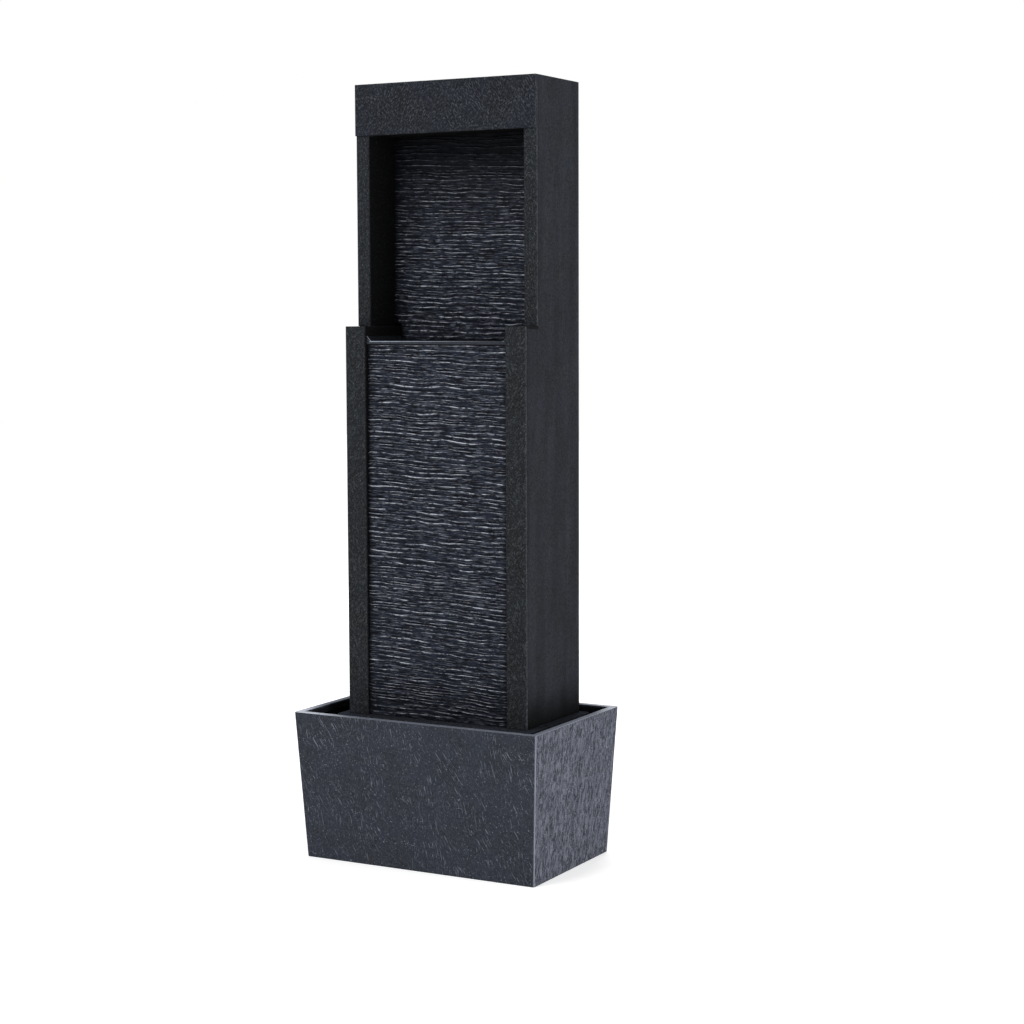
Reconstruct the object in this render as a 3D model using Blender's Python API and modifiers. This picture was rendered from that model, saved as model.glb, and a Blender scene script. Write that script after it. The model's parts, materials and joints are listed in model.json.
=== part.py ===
"""A solar tower fountain: tapered basin, slate-faced tower, pump, trough, solar panel and battery."""

import math

import bmesh
import bpy
from mathutils import Vector, noise

# Metres. X runs to the right, Y to the back and Z up; the origin is on the ground under the basin.

# Fits between pieces
SEAT_GAP = 0.0003
BORE_GAP = 0.0003
PIN_GAP = 0.0002
OVERSHOOT = 0.010
FUSE_DEPTH = 0.001

# Basin
BASIN_HEIGHT = 0.186
RIM_WIDTH_X = 0.343
RIM_DEPTH_Y = 0.222
FOOT_WIDTH_X = 0.324
FOOT_DEPTH_Y = 0.198
BASIN_WALL = 0.0045
BASIN_FLOOR = 0.006
RIM_BAND = 0.009
RIM_BAND_HEIGHT = 0.010
BASIN_CORNER_RADIUS = 0.0025

# Plinth that carries the tower inside the basin
PLINTH_TOP_Z = 0.1785
PLINTH_PLATE = 0.006
PLINTH_MARGIN = 0.012
PLINTH_BACK_MARGIN = 0.006
PLINTH_CORNER_RADIUS = 0.004
PEDESTAL_INSET = 0.006
PEDESTAL_WALL = 0.004
ARCH_HEIGHT = 0.060
FRONT_ARCH_WIDTH = 0.140
SIDE_ARCH_WIDTH = 0.070
LOCATING_RIB = 0.003
LOCATING_RIB_HEIGHT = 0.008
HAND_HOLE_HALF_X = 0.088
HAND_HOLE_FRONT_Y = -0.020
HAND_HOLE_BACK_Y = 0.072

# Tower outline
TOTAL_HEIGHT = 0.965
TOWER_WIDTH = 0.255
LOWER_FRONT_Y = -0.052
UPPER_FRONT_Y = -0.0225
TOWER_BACK_Y = 0.089
SHOULDER_Z = 0.666
HEADER_HEIGHT = 0.063
CASING_WALL = 0.0035
FRAME_PLATE = 0.003
RETURN_WALL = 0.003
TOWER_EDGE_RADIUS = 0.001

# Upper niche and its rock
UPPER_POST = 0.0175
FASCIA_PROUD = 0.003
SOFFIT_DEPTH = 0.0485
ROCK_ABOVE_SOFFIT = 0.010
UPPER_ROCK_BACK_Y = 0.046
UPPER_ROCK_TOP_Y = 0.0397
UPPER_ROCK_FOOT_Y = 0.0350
BACKING = 0.003

# Lower face and its rock
LOWER_POST = 0.0275
LEDGE_Z = 0.648
LEDGE_THICKNESS = 0.004
LEDGE_LIP_RADIUS = 0.0015
LEDGE_CHAMFER = 0.006
LEDGE_RAIL = 0.003
LOWER_ROCK_BACK_Y = -0.036
LOWER_ROCK_TOP_Y = -0.0450
LOWER_ROCK_FOOT_Y = -0.0485

# Split-slate relief
LAYER_PITCH = 0.0072
RELIEF_COLUMN = 0.018
RELIEF_DEPTH = 0.0018
GROOVE_SHARE = 0.25
CREST_RISE = 0.22
LAYER_WANDER = 0.0022
WANDER_LENGTH = 0.055
RELIEF_LENGTH = 0.035

# Water trough behind the upper rock
TROUGH_WIDTH = 0.210
TROUGH_DEPTH = 0.034
TROUGH_HEIGHT = 0.029
TROUGH_WALL = 0.0025
WEIR_DROP = 0.0045
WEIR_LIP = 0.002
WEIR_OVERHANG = 0.002

# Water hose and its barbs
HOSE_RADIUS = 0.008
HOSE_WALL = 0.002
BARB_LENGTH = 0.022
BARB_RIDGE = 0.0006
BARB_RIDGE_ENDS = (0.45, 0.80)
BARB_RIDGE_SHARE = 0.15
BARB_STEP_SHARE = 0.02
BARB_BORE_RADIUS = 0.004
HOSE_RISE_Y = 0.0675
HOSE_BEND_START = 0.035
HOSE_BEND_LENGTH = 0.300
HOSE_STEP = 0.036
CLAMP_WIDTH = 0.008
CLAMP_BAND = 0.001
CLAMP_HOUSING = 0.006
CLAMP_FROM_ROOT = 0.0088
HOSE_CLIP_SHARES = (0.487, 0.788)
CLIP_WIDTH = 0.010
CLIP_BAND = 0.002
CLIP_MOUTH_SHARE = 0.7

# Pump, seen from its shaft, which runs along Y
PUMP_Y = 0.020
FOOT_HEIGHT = 0.007
FOOT_RADIUS = 0.007
FOOT_NECK_RADIUS = 0.004
FOOT_RIM = 0.001
FOOT_CUP_RADIUS = 0.003
FOOT_SPREAD_X = 0.014
FOOT_SPREAD_Y = 0.010
MOTOR_HALF_X = 0.021
MOTOR_LENGTH = 0.032
MOTOR_HEIGHT = 0.036
MOTOR_WALL = 0.003
PUMP_CORNER_RADIUS = 0.004
VOLUTE_RADIUS = 0.017
VOLUTE_DEPTH = 0.014
CHAMBER_RADIUS = 0.0135
CHAMBER_BACK = 0.0015
ROTOR_RADIUS = 0.0068
ROTOR_LENGTH = 0.023
ROTOR_BORE_RADIUS = 0.0075
SHAFT_RADIUS = 0.00125
BLADE_COUNT = 6
BLADE_RADIUS = 0.0120
BLADE_WIDTH = 0.0012
BLADE_DEPTH = 0.006
BLADE_CLEARANCE = 0.0015
ROTOR_DISC = 0.0015
HUB_RADIUS = 0.004
PUMP_COVER = 0.003
EYE_RADIUS = 0.0055
SHAFT_BAR_HALF = 0.0025
SHAFT_SEAT_SKIN = 0.001
STRAINER_DEPTH = 0.020
STRAINER_WALL = 0.002
STRAINER_SLOTS = 5
SLOT_WIDTH = 0.0025
SLOT_MARGIN = 0.005
DIAL_RADIUS = 0.008
DIAL_PLATE = 0.002
DIAL_GRIP = 0.004
DIAL_GRIP_HALF = 0.0012
DIAL_STEM_RADIUS = 0.003
GRIP_INSET = 0.001
OUTLET_HEIGHT = 0.010
GLAND_LENGTH = 0.005
GLAND_WALL = 0.0025

# Top cover and solar panel
COVER_PLATE = 0.004
COVER_LEDGE = 0.006
LEDGE_PLATE = 0.003
TRAY_MARGIN = 0.016
TRAY_WALL = 0.003
TRAY_FLOOR = 0.002
TRAY_DEPTH = 0.008
CELL_SHEET = 0.0016
GLASS_SHEET = 0.003

# Battery box, cells and board
BOX_WIDTH = 0.112
BOX_DEPTH = 0.043
BOX_HEIGHT = 0.026
BOX_WALL = 0.002
BOX_LID = 0.002
CELL_RADIUS = 0.0092
CELL_LENGTH = 0.0652
CELL_NUB = 0.002
CELL_NUB_RADIUS = 0.0032
BOARD_WIDTH = 0.034
BOARD_THICKNESS = 0.0016
CHIP_SIZE = 0.010
CHIP_HEIGHT = 0.003
CHOKE_RADIUS = 0.005
CHOKE_HEIGHT = 0.007
CAPACITOR_RADIUS = 0.004
CAPACITOR_HEIGHT = 0.009

# Leads
LEAD_RADIUS = 0.00225
THIN_LEAD_RADIUS = 0.0015
LEAD_STEP = 0.0165
LEAD_CLIP_SHARES = (0.342, 0.560, 0.777)
LEAD_OVER_ROCK = 0.018
LEAD_TURN = 0.012
LEAD_BEND = 0.030
LEAD_IN_FROM_SIDE = 0.0515

# Power button on the back
BUTTON_X = 0.085
BUTTON_DROP = 0.027
BUTTON_RADIUS = 0.0040
BARREL_RADIUS = 0.006
BEZEL_RADIUS = 0.009
BEZEL_THICKNESS = 0.002
BARREL_DEPTH = 0.016
BUTTON_TRAVEL = 0.002
BUTTON_PROUD = 0.0025
BUTTON_NUT = 0.004
BUTTON_NUT_WALL = 0.003
BUTTON_SEAT_DEPTH = 0.010
CAP_EDGE_RADIUS = 0.0008

# Access door in the back, hinged on the left seen from the front
DOOR_HALF_X = 0.0545
DOOR_BOTTOM_Z = 0.215
DOOR_TOP_Z = 0.345
DOOR_GAP = 0.0005
DOOR_LIP = 0.003
DOOR_FRAME = 0.008
KNUCKLE_RADIUS = 0.0035
KNUCKLE_HEIGHT = 0.008
LUG_HEIGHT = 0.006
KNUCKLE_GAP = 0.0004
HINGE_PIN_RADIUS = 0.0015
HINGE_OFFSET_X = 0.0055
HINGE_INSET_Z = 0.024
STRAP_LENGTH = 0.014
LATCH_INSET_X = 0.0145
LATCH_SHAFT_RADIUS = 0.003
LATCH_KNOB_RADIUS = 0.010
LATCH_KNOB_HEIGHT = 0.003
LATCH_GRIP_HEIGHT = 0.006
LATCH_GRIP_WIDTH = 0.004
CAM_LENGTH = 0.019
CAM_WIDTH = 0.008
CAM_THICKNESS = 0.0028
CAM_CORNER_RADIUS = 0.002

# Places worked out from the sizes above
TOWER_HALF = TOWER_WIDTH / 2
TOWER_BOTTOM_Z = PLINTH_TOP_Z + SEAT_GAP
HEADER_Z = TOTAL_HEIGHT - HEADER_HEIGHT
NICHE_HALF = TOWER_HALF - UPPER_POST
CHANNEL_HALF = TOWER_HALF - LOWER_POST
CASING_INNER_HALF = TOWER_HALF - CASING_WALL
CASING_INNER_Y = TOWER_BACK_Y - CASING_WALL
CASING_UPPER_Y = UPPER_FRONT_Y + FRAME_PLATE + SEAT_GAP
CASING_LOWER_Y = LOWER_FRONT_Y + FRAME_PLATE + SEAT_GAP
ROCK_TOP_Z = HEADER_Z + ROCK_ABOVE_SOFFIT
UPPER_BACKING_Y = UPPER_ROCK_BACK_Y + SEAT_GAP
LOWER_BACKING_Y = LOWER_ROCK_BACK_Y + SEAT_GAP
LEDGE_UNDER_Z = LEDGE_Z - LEDGE_THICKNESS
FRAME_FOOT_Z = SHOULDER_Z + SEAT_GAP
COVER_SEAT_Z = TOTAL_HEIGHT - COVER_PLATE - SEAT_GAP
BUTTON_Z = TOTAL_HEIGHT - BUTTON_DROP
TRAY_BOTTOM_Z = TOTAL_HEIGHT - TRAY_DEPTH
HINGE_X = -(DOOR_HALF_X + HINGE_OFFSET_X)
HINGE_Y = TOWER_BACK_Y + KNUCKLE_RADIUS + DOOR_GAP
LATCH_X = DOOR_HALF_X - LATCH_INSET_X
LATCH_Z = (DOOR_BOTTOM_Z + DOOR_TOP_Z) / 2
PUMP_Z = BASIN_FLOOR + SEAT_GAP + FOOT_HEIGHT + SEAT_GAP + MOTOR_HEIGHT / 2
VOLUTE_FRONT_Y = PUMP_Y - VOLUTE_DEPTH
OUTLET_Y = PUMP_Y - VOLUTE_DEPTH / 2
OUTLET_Z = PUMP_Z + VOLUTE_RADIUS + OUTLET_HEIGHT
TROUGH_Y = UPPER_BACKING_Y + BACKING + SEAT_GAP
TROUGH_FLOOR_Z = ROCK_TOP_Z + SEAT_GAP + WEIR_LIP + WEIR_DROP - TROUGH_HEIGHT

SMOOTH_ANGLE = math.radians(35)
ROUTE_FINENESS = 32


def clear_scene():
    """Start from an empty file."""
    for old in list(bpy.data.objects):
        bpy.data.objects.remove(old, do_unlink=True)


def make_collection(name):
    """A named collection in the scene."""
    group = bpy.data.collections.new(name)
    bpy.context.scene.collection.children.link(group)
    return group


clear_scene()
PARTS = make_collection("solar_fountain")
CUTTERS = make_collection("cutters")


def make_material(name, colour, roughness, metallic=0.0, alpha=1.0):
    """A plain surface with one colour."""
    finish = bpy.data.materials.new(name)
    finish.use_nodes = True
    shader = finish.node_tree.nodes["Principled BSDF"]
    shader.inputs["Base Color"].default_value = (*colour, 1.0)
    shader.inputs["Roughness"].default_value = roughness
    shader.inputs["Metallic"].default_value = metallic
    shader.inputs["Alpha"].default_value = alpha
    return finish


BASIN_SLATE = make_material("basin slate", (0.075, 0.081, 0.100), 0.62)
TOWER_SLATE = make_material("tower slate", (0.032, 0.035, 0.042), 0.60)
ROCK_SLATE = make_material("split rock", (0.040, 0.045, 0.056), 0.55)
INNER_PLASTIC = make_material("inner plastic", (0.020, 0.021, 0.023), 0.50)
PUMP_PLASTIC = make_material("pump plastic", (0.015, 0.016, 0.018), 0.38)
ROTOR_WHITE = make_material("rotor plastic", (0.70, 0.71, 0.72), 0.40)
CERAMIC = make_material("shaft ceramic", (0.85, 0.85, 0.82), 0.25)
HOSE_PVC = make_material("hose", (0.62, 0.66, 0.66), 0.30)
STEEL = make_material("steel", (0.55, 0.56, 0.58), 0.28, metallic=1.0)
RUBBER = make_material("rubber", (0.018, 0.018, 0.018), 0.75)
SOLAR_BLUE = make_material("solar cells", (0.010, 0.018, 0.060), 0.25)
CLEAR_GLASS = make_material("solar glass", (0.90, 0.94, 0.95), 0.06, alpha=0.35)
CELL_WRAP = make_material("cell wrap", (0.02, 0.22, 0.30), 0.35)
BOARD_GREEN = make_material("board", (0.015, 0.110, 0.040), 0.45)
BUTTON_GREY = make_material("button", (0.10, 0.10, 0.11), 0.40)


def part(piece, finish):
    """File a finished sub-part under the fountain with its material."""
    PARTS.objects.link(piece)
    piece.data.materials.clear()
    piece.data.materials.append(finish)
    return piece


def guide(piece):
    """File a cutter or an added shape out of the model."""
    CUTTERS.objects.link(piece)
    piece.hide_render = True
    piece.display_type = 'WIRE'
    return piece


def combine(piece, operation, others):
    """Add one Boolean modifier for each other shape."""
    for other in others:
        guide(other)
        modifier = piece.modifiers.new(f"{operation.lower()} {other.name}", 'BOOLEAN')
        modifier.operation = operation
        modifier.object = other
        modifier.solver = 'EXACT'
    return piece


def cut(piece, *others):
    """Take shapes away from a piece."""
    return combine(piece, 'DIFFERENCE', others)


def fuse(piece, *others):
    """Grow a piece by shapes that overlap it."""
    return combine(piece, 'UNION', others)


def smooth(piece):
    """Shade round faces smooth and keep the real edges sharp."""
    piece.data.shade_smooth()
    piece.data.set_sharp_from_angle(angle=SMOOTH_ANGLE)
    return piece


def from_bmesh(name, shape, place=(0.0, 0.0, 0.0)):
    """Turn an edited mesh into an object."""
    mesh = bpy.data.meshes.new(name)
    shape.to_mesh(mesh)
    shape.free()
    piece = bpy.data.objects.new(name, mesh)
    piece.location = place
    return piece


def box(name, low, high):
    """A block between two corners, with its origin in its middle."""
    shape = bmesh.new()
    bmesh.ops.create_cube(shape, size=1.0)
    bmesh.ops.scale(shape, vec=Vector(high) - Vector(low), verts=shape.verts)
    return from_bmesh(name, shape, (Vector(low) + Vector(high)) / 2)


def tapered_box(name, foot, top, bottom_z, top_z):
    """A block whose foot and top are rectangles of unlike size, given as half sizes."""
    shape = bmesh.new()
    bmesh.ops.create_cube(shape, size=2.0)
    for vert in shape.verts:
        half = top if vert.co.z > 0 else foot
        height = top_z if vert.co.z > 0 else bottom_z
        vert.co = (vert.co.x * half[0], vert.co.y * half[1], height)
    return from_bmesh(name, shape)


def rod(name, start, end, radius, segments=24):
    """A round bar between two points."""
    start, end = Vector(start), Vector(end)
    shape = bmesh.new()
    bmesh.ops.create_cone(
        shape, cap_ends=True, segments=segments, radius1=radius, radius2=radius, depth=(end - start).length
    )
    piece = from_bmesh(name, shape, (start + end) / 2)
    piece.rotation_mode = 'QUATERNION'
    piece.rotation_quaternion = (end - start).to_track_quat('Z', 'Y')
    return smooth(piece)


def turned(name, profile, place, tilt=(0.0, 0.0, 0.0), steps=24):
    """A turned shape. The profile lists radius and height from the top down its outer side."""
    shape = bmesh.new()
    points = [shape.verts.new((radius, 0.0, height)) for radius, height in profile]
    closed = profile[0][0] > 0
    for first, second in zip(points, points[1:] + points[:1] if closed else points[1:]):
        shape.edges.new((first, second))
    piece = from_bmesh(name, shape, place)
    piece.rotation_euler = tilt
    screw = piece.modifiers.new("turn", 'SCREW')
    screw.steps = steps
    screw.render_steps = steps
    screw.use_merge_vertices = True
    screw.merge_threshold = 0.00001
    screw.use_smooth_shade = False
    return piece


def flat_piece(name, outline, thickness):
    """A flat outline of even thickness, centred on its local XY plane."""
    curve = bpy.data.curves.new(name, 'CURVE')
    curve.dimensions = '2D'
    curve.fill_mode = 'BOTH'
    curve.extrude = thickness / 2
    spline = curve.splines.new('POLY')
    spline.points.add(len(outline) - 1)
    for point, (across, up) in zip(spline.points, outline):
        point.co = (across, up, 0.0, 1.0)
    spline.use_cyclic_u = True
    return welded_mesh(name, curve)


def welded_mesh(name, curve):
    """The closed mesh of a curve, its caps joined to its sides."""
    holder = bpy.data.objects.new(name, curve)
    bpy.context.scene.collection.objects.link(holder)
    graph = bpy.context.evaluated_depsgraph_get()
    mesh = bpy.data.meshes.new_from_object(holder.evaluated_get(graph))
    shape = bmesh.new()
    shape.from_mesh(mesh)
    bmesh.ops.remove_doubles(shape, verts=shape.verts, dist=0.00001)
    bmesh.ops.recalc_face_normals(shape, faces=shape.faces)
    bpy.data.objects.remove(holder, do_unlink=True)
    bpy.data.meshes.remove(mesh)
    return from_bmesh(name, shape)


def facing_side(piece, x=0.0):
    """Stand a flat outline up so that its first axis runs along Y and its second along Z."""
    piece.rotation_euler = (math.radians(90), 0.0, math.radians(90))
    piece.location = (x, 0.0, 0.0)
    return piece


def facing_front(piece, y=0.0):
    """Stand a flat outline up so that its first axis runs along X and its second along Z."""
    piece.rotation_euler = (math.radians(90), 0.0, 0.0)
    piece.location = (0.0, y, 0.0)
    return piece


def round_edges(piece, radius, segments, chosen):
    """Bevel the edges whose two ends both pass a test in the piece's own coordinates."""
    mesh = piece.data
    weights = mesh.attributes.new("bevel_weight_edge", 'FLOAT', 'EDGE')
    for edge in mesh.edges:
        ends = [mesh.vertices[index].co for index in edge.vertices]
        weights.data[edge.index].value = 1.0 if chosen(*ends) else 0.0
    bevel = piece.modifiers.new("rounded edges", 'BEVEL')
    bevel.limit_method = 'WEIGHT'
    bevel.width = radius
    bevel.segments = segments
    return piece


def upright(first, second):
    """True for an edge that climbs, also a slanted one."""
    return abs(first.z - second.z) > 0.9 * (first - second).length


def smooth_route(points, step):
    """Points at an even step along a smooth curve through the given points."""
    points = [Vector(point) for point in points]
    ends = [2 * points[0] - points[1]] + points + [2 * points[-1] - points[-2]]
    fine = []
    for before, first, second, after in zip(ends, ends[1:], ends[2:], ends[3:]):
        for index in range(ROUTE_FINENESS):
            t = index / ROUTE_FINENESS
            fine.append(
                0.5 * (2 * first + (second - before) * t
                       + (2 * before - 5 * first + 4 * second - after) * t ** 2
                       + (3 * first - before - 3 * second + after) * t ** 3)
            )
    fine.append(points[-1])
    lengths = [0.0]
    for first, second in zip(fine, fine[1:]):
        lengths.append(lengths[-1] + (second - first).length)
    count = max(2, round(lengths[-1] / step))
    route = []
    place = 0
    for index in range(count + 1):
        target = lengths[-1] * index / count
        while place < len(fine) - 2 and lengths[place + 1] < target:
            place += 1
        span = lengths[place + 1] - lengths[place]
        route.append(fine[place].lerp(fine[place + 1], (target - lengths[place]) / span))
    return route


def lead(name, points, radius, finish):
    """A round lead along a smooth route."""
    curve = bpy.data.curves.new(name, 'CURVE')
    curve.dimensions = '3D'
    curve.bevel_depth = radius
    curve.bevel_resolution = 2
    curve.use_fill_caps = True
    spline = curve.splines.new('POLY')
    route = smooth_route(points, LEAD_STEP)
    spline.points.add(len(route) - 1)
    for point, place in zip(spline.points, route):
        point.co = (*place, 1.0)
    curve.materials.append(finish)
    piece = bpy.data.objects.new(name, curve)
    PARTS.objects.link(piece)
    return piece


def basin_half(height, inset):
    """Half width and half depth of the basin's wall at a height, moved in by an inset."""
    share = height / BASIN_HEIGHT
    half_x = (FOOT_WIDTH_X + (RIM_WIDTH_X - FOOT_WIDTH_X) * share) / 2 - inset
    half_y = (FOOT_DEPTH_Y + (RIM_DEPTH_Y - FOOT_DEPTH_Y) * share) / 2 - inset
    return half_x, half_y


def make_basin():
    """The tapered tub: thin walls with a wider flat band round the rim."""
    foot, rim = basin_half(0.0, 0.0), basin_half(BASIN_HEIGHT, 0.0)
    basin = tapered_box("basin", foot, rim, 0.0, BASIN_HEIGHT)
    round_edges(basin, BASIN_CORNER_RADIUS, 3, upright)
    band_z = BASIN_HEIGHT - RIM_BAND_HEIGHT
    pool_foot, pool_top = basin_half(BASIN_FLOOR, BASIN_WALL), basin_half(band_z, BASIN_WALL)
    pool = tapered_box("basin pool", pool_foot, pool_top, BASIN_FLOOR, band_z)
    mouth_top = BASIN_HEIGHT + OVERSHOOT
    mouth = tapered_box(
        "basin mouth", basin_half(band_z - FUSE_DEPTH, RIM_BAND), basin_half(mouth_top, RIM_BAND),
        band_z - FUSE_DEPTH, mouth_top
    )
    return part(cut(basin, pool, mouth), BASIN_SLATE)


def arch_outline(width, height, segments=8):
    """A doorway outline with quarter-round upper corners."""
    radius = height / 3
    outline = [(-width / 2, -OVERSHOOT), (width / 2, -OVERSHOOT)]
    for side in (1, -1):
        for index in range(segments + 1):
            angle = math.radians(90) * index / segments
            angle = angle if side > 0 else math.radians(90) - angle
            centre = side * (width / 2 - radius)
            across = centre + side * radius * math.cos(angle)
            outline.append((across, height - radius + radius * math.sin(angle)))
    return outline


def make_plinth():
    """The plate under the tower, on four walls with arches that let the water through."""
    plate_half = TOWER_HALF + PLINTH_MARGIN
    plate = box(
        "plinth",
        (-plate_half, LOWER_FRONT_Y - PLINTH_MARGIN, PLINTH_TOP_Z - PLINTH_PLATE),
        (plate_half, TOWER_BACK_Y + PLINTH_BACK_MARGIN, PLINTH_TOP_Z),
    )
    round_edges(plate, PLINTH_CORNER_RADIUS, 3, upright)
    half = TOWER_HALF - PEDESTAL_INSET
    front, back = LOWER_FRONT_Y + PEDESTAL_INSET, TOWER_BACK_Y - PEDESTAL_INSET
    floor_z = BASIN_FLOOR + SEAT_GAP
    walls = box("pedestal", (-half, front, floor_z), (half, back, PLINTH_TOP_Z - FUSE_DEPTH))
    hollow = box(
        "pedestal hollow",
        (-half + PEDESTAL_WALL, front + PEDESTAL_WALL, floor_z - OVERSHOOT),
        (half - PEDESTAL_WALL, back - PEDESTAL_WALL, PLINTH_TOP_Z - PLINTH_PLATE),
    )
    rib_out_x = CASING_INNER_HALF - SEAT_GAP
    rib_front = CASING_LOWER_Y + SEAT_GAP
    rib_back = CASING_INNER_Y - SEAT_GAP
    rib = box(
        "locating rib", (-rib_out_x, rib_front, PLINTH_TOP_Z - FUSE_DEPTH),
        (rib_out_x, rib_back, PLINTH_TOP_Z + LOCATING_RIB_HEIGHT)
    )
    rib_hollow = box(
        "rib hollow",
        (-rib_out_x + LOCATING_RIB, LOWER_BACKING_Y + BACKING + SEAT_GAP, PLINTH_TOP_Z),
        (rib_out_x - LOCATING_RIB, rib_back - LOCATING_RIB, PLINTH_TOP_Z + LOCATING_RIB_HEIGHT + OVERSHOOT),
    )
    frame_room = box(
        "frame room",
        (-CHANNEL_HALF - RETURN_WALL - SEAT_GAP, rib_front - OVERSHOOT, PLINTH_TOP_Z),
        (CHANNEL_HALF + RETURN_WALL + SEAT_GAP, LOWER_BACKING_Y + BACKING + SEAT_GAP + FUSE_DEPTH,
         PLINTH_TOP_Z + LOCATING_RIB_HEIGHT + OVERSHOOT),
    )
    hand_hole = box(
        "hand hole", (-HAND_HOLE_HALF_X, HAND_HOLE_FRONT_Y, PLINTH_TOP_Z - PLINTH_PLATE - OVERSHOOT),
        (HAND_HOLE_HALF_X, HAND_HOLE_BACK_Y, PLINTH_TOP_Z + OVERSHOOT)
    )
    front_arch = flat_piece("front arch", arch_outline(FRONT_ARCH_WIDTH, ARCH_HEIGHT), 1.0)
    facing_front(front_arch).location.z = floor_z
    side_arch = flat_piece("side arch", arch_outline(SIDE_ARCH_WIDTH, ARCH_HEIGHT), 1.0)
    facing_side(side_arch).location = (0.0, (front + back) / 2, floor_z)
    fuse(plate, walls, rib)
    return part(cut(plate, hollow, rib_hollow, frame_room, hand_hole, front_arch, side_arch), TOWER_SLATE)


def hinge_levels():
    """Heights of the two hinges' middles."""
    return DOOR_BOTTOM_Z + HINGE_INSET_Z, DOOR_TOP_Z - HINGE_INSET_Z


def hinge_bore(name, level):
    """The hole that a hinge pin passes through."""
    reach = KNUCKLE_HEIGHT / 2 + LUG_HEIGHT + OVERSHOOT
    return rod(
        name, (HINGE_X, HINGE_Y, level - reach), (HINGE_X, HINGE_Y, level + reach),
        HINGE_PIN_RADIUS + PIN_GAP, segments=16
    )


def side_prism(name, outline, width):
    """An outline of Y and Z extruded along X, centred on the middle of the tower."""
    return facing_side(flat_piece(name, outline, width))


def lug_outline(radius, reach, segments=12):
    """A round-headed lug, from its bore's centre back to a wall at the given reach."""
    arc = [math.pi * index / segments for index in range(segments + 1)]
    head = [(radius * math.cos(angle), radius * math.sin(angle)) for angle in arc]
    return [(-radius, -reach), (radius, -reach)] + head


def make_casing():
    """Both sides and the back of the tower, with the doorway, hinge lugs and the cover's ledge."""
    step_z = SHOULDER_Z - FRAME_PLATE - SEAT_GAP
    casing = side_prism("tower_casing", [
        (CASING_LOWER_Y, TOWER_BOTTOM_Z), (TOWER_BACK_Y, TOWER_BOTTOM_Z), (TOWER_BACK_Y, TOTAL_HEIGHT),
        (CASING_UPPER_Y, TOTAL_HEIGHT), (CASING_UPPER_Y, step_z), (CASING_LOWER_Y, step_z),
    ], TOWER_WIDTH)
    on_back = TOWER_BACK_Y - FUSE_DEPTH
    round_edges(casing, TOWER_EDGE_RADIUS, 2, lambda first, second: min(first.x, second.x) > on_back
                and abs(first.y - second.y) > FUSE_DEPTH)
    inside = box(
        "casing inside",
        (-CASING_INNER_HALF, LOWER_FRONT_Y - OVERSHOOT, TOWER_BOTTOM_Z - OVERSHOOT),
        (CASING_INNER_HALF, CASING_INNER_Y, TOTAL_HEIGHT + OVERSHOOT),
    )
    ledge_front = CASING_UPPER_Y + COVER_LEDGE
    ledge = box(
        "cover ledge", (-CASING_INNER_HALF - OVERSHOOT, ledge_front, COVER_SEAT_Z - LEDGE_PLATE),
        (CASING_INNER_HALF + OVERSHOOT, CASING_INNER_Y + OVERSHOOT, COVER_SEAT_Z),
    )
    ledge_window = box(
        "cover ledge window",
        (-CASING_INNER_HALF + COVER_LEDGE, ledge_front - OVERSHOOT, COVER_SEAT_Z - LEDGE_PLATE - OVERSHOOT),
        (CASING_INNER_HALF - COVER_LEDGE, CASING_INNER_Y - COVER_LEDGE, COVER_SEAT_Z + OVERSHOOT),
    )
    frame_half = DOOR_HALF_X + DOOR_FRAME
    door_frame = box(
        "door frame",
        (-frame_half, CASING_INNER_Y - SEAT_GAP - DOOR_LIP, DOOR_BOTTOM_Z - DOOR_FRAME),
        (frame_half, CASING_INNER_Y + OVERSHOOT, DOOR_TOP_Z + DOOR_FRAME),
    )
    rebate = box(
        "door rebate",
        (-DOOR_HALF_X - DOOR_GAP, CASING_INNER_Y - SEAT_GAP, DOOR_BOTTOM_Z - DOOR_GAP),
        (DOOR_HALF_X + DOOR_GAP, TOWER_BACK_Y + OVERSHOOT, DOOR_TOP_Z + DOOR_GAP),
    )
    doorway = box(
        "doorway",
        (-DOOR_HALF_X + DOOR_LIP, CASING_INNER_Y - OVERSHOOT, DOOR_BOTTOM_Z + DOOR_LIP),
        (DOOR_HALF_X - DOOR_LIP, TOWER_BACK_Y + OVERSHOOT, DOOR_TOP_Z - DOOR_LIP),
    )
    button_hole = rod(
        "button hole", (BUTTON_X, CASING_INNER_Y - OVERSHOOT, BUTTON_Z),
        (BUTTON_X, TOWER_BACK_Y + OVERSHOOT, BUTTON_Z), BARREL_RADIUS + BORE_GAP
    )
    cut(inside, cut(ledge, ledge_window), door_frame)
    cut(casing, inside, rebate, doorway, button_hole)
    wall_reach = HINGE_Y - TOWER_BACK_Y + FUSE_DEPTH
    for number, level in enumerate(hinge_levels(), start=1):
        for side in (-1, 1):
            middle = level + side * (KNUCKLE_HEIGHT / 2 + KNUCKLE_GAP + LUG_HEIGHT / 2)
            lug = flat_piece(f"lug {number} {side}", lug_outline(KNUCKLE_RADIUS, wall_reach), LUG_HEIGHT)
            lug.location = (HINGE_X, HINGE_Y, middle)
            fuse(casing, lug)
        cut(casing, hinge_bore(f"lug bore {number}", level))
    return part(casing, TOWER_SLATE)


def mirrored_boxes(name, low, high):
    """The same block on the right and on the left."""
    right = box(f"{name} right", low, high)
    left = box(f"{name} left", (-high[0], low[1], low[2]), (-low[0], high[1], high[2]))
    return right, left


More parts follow.
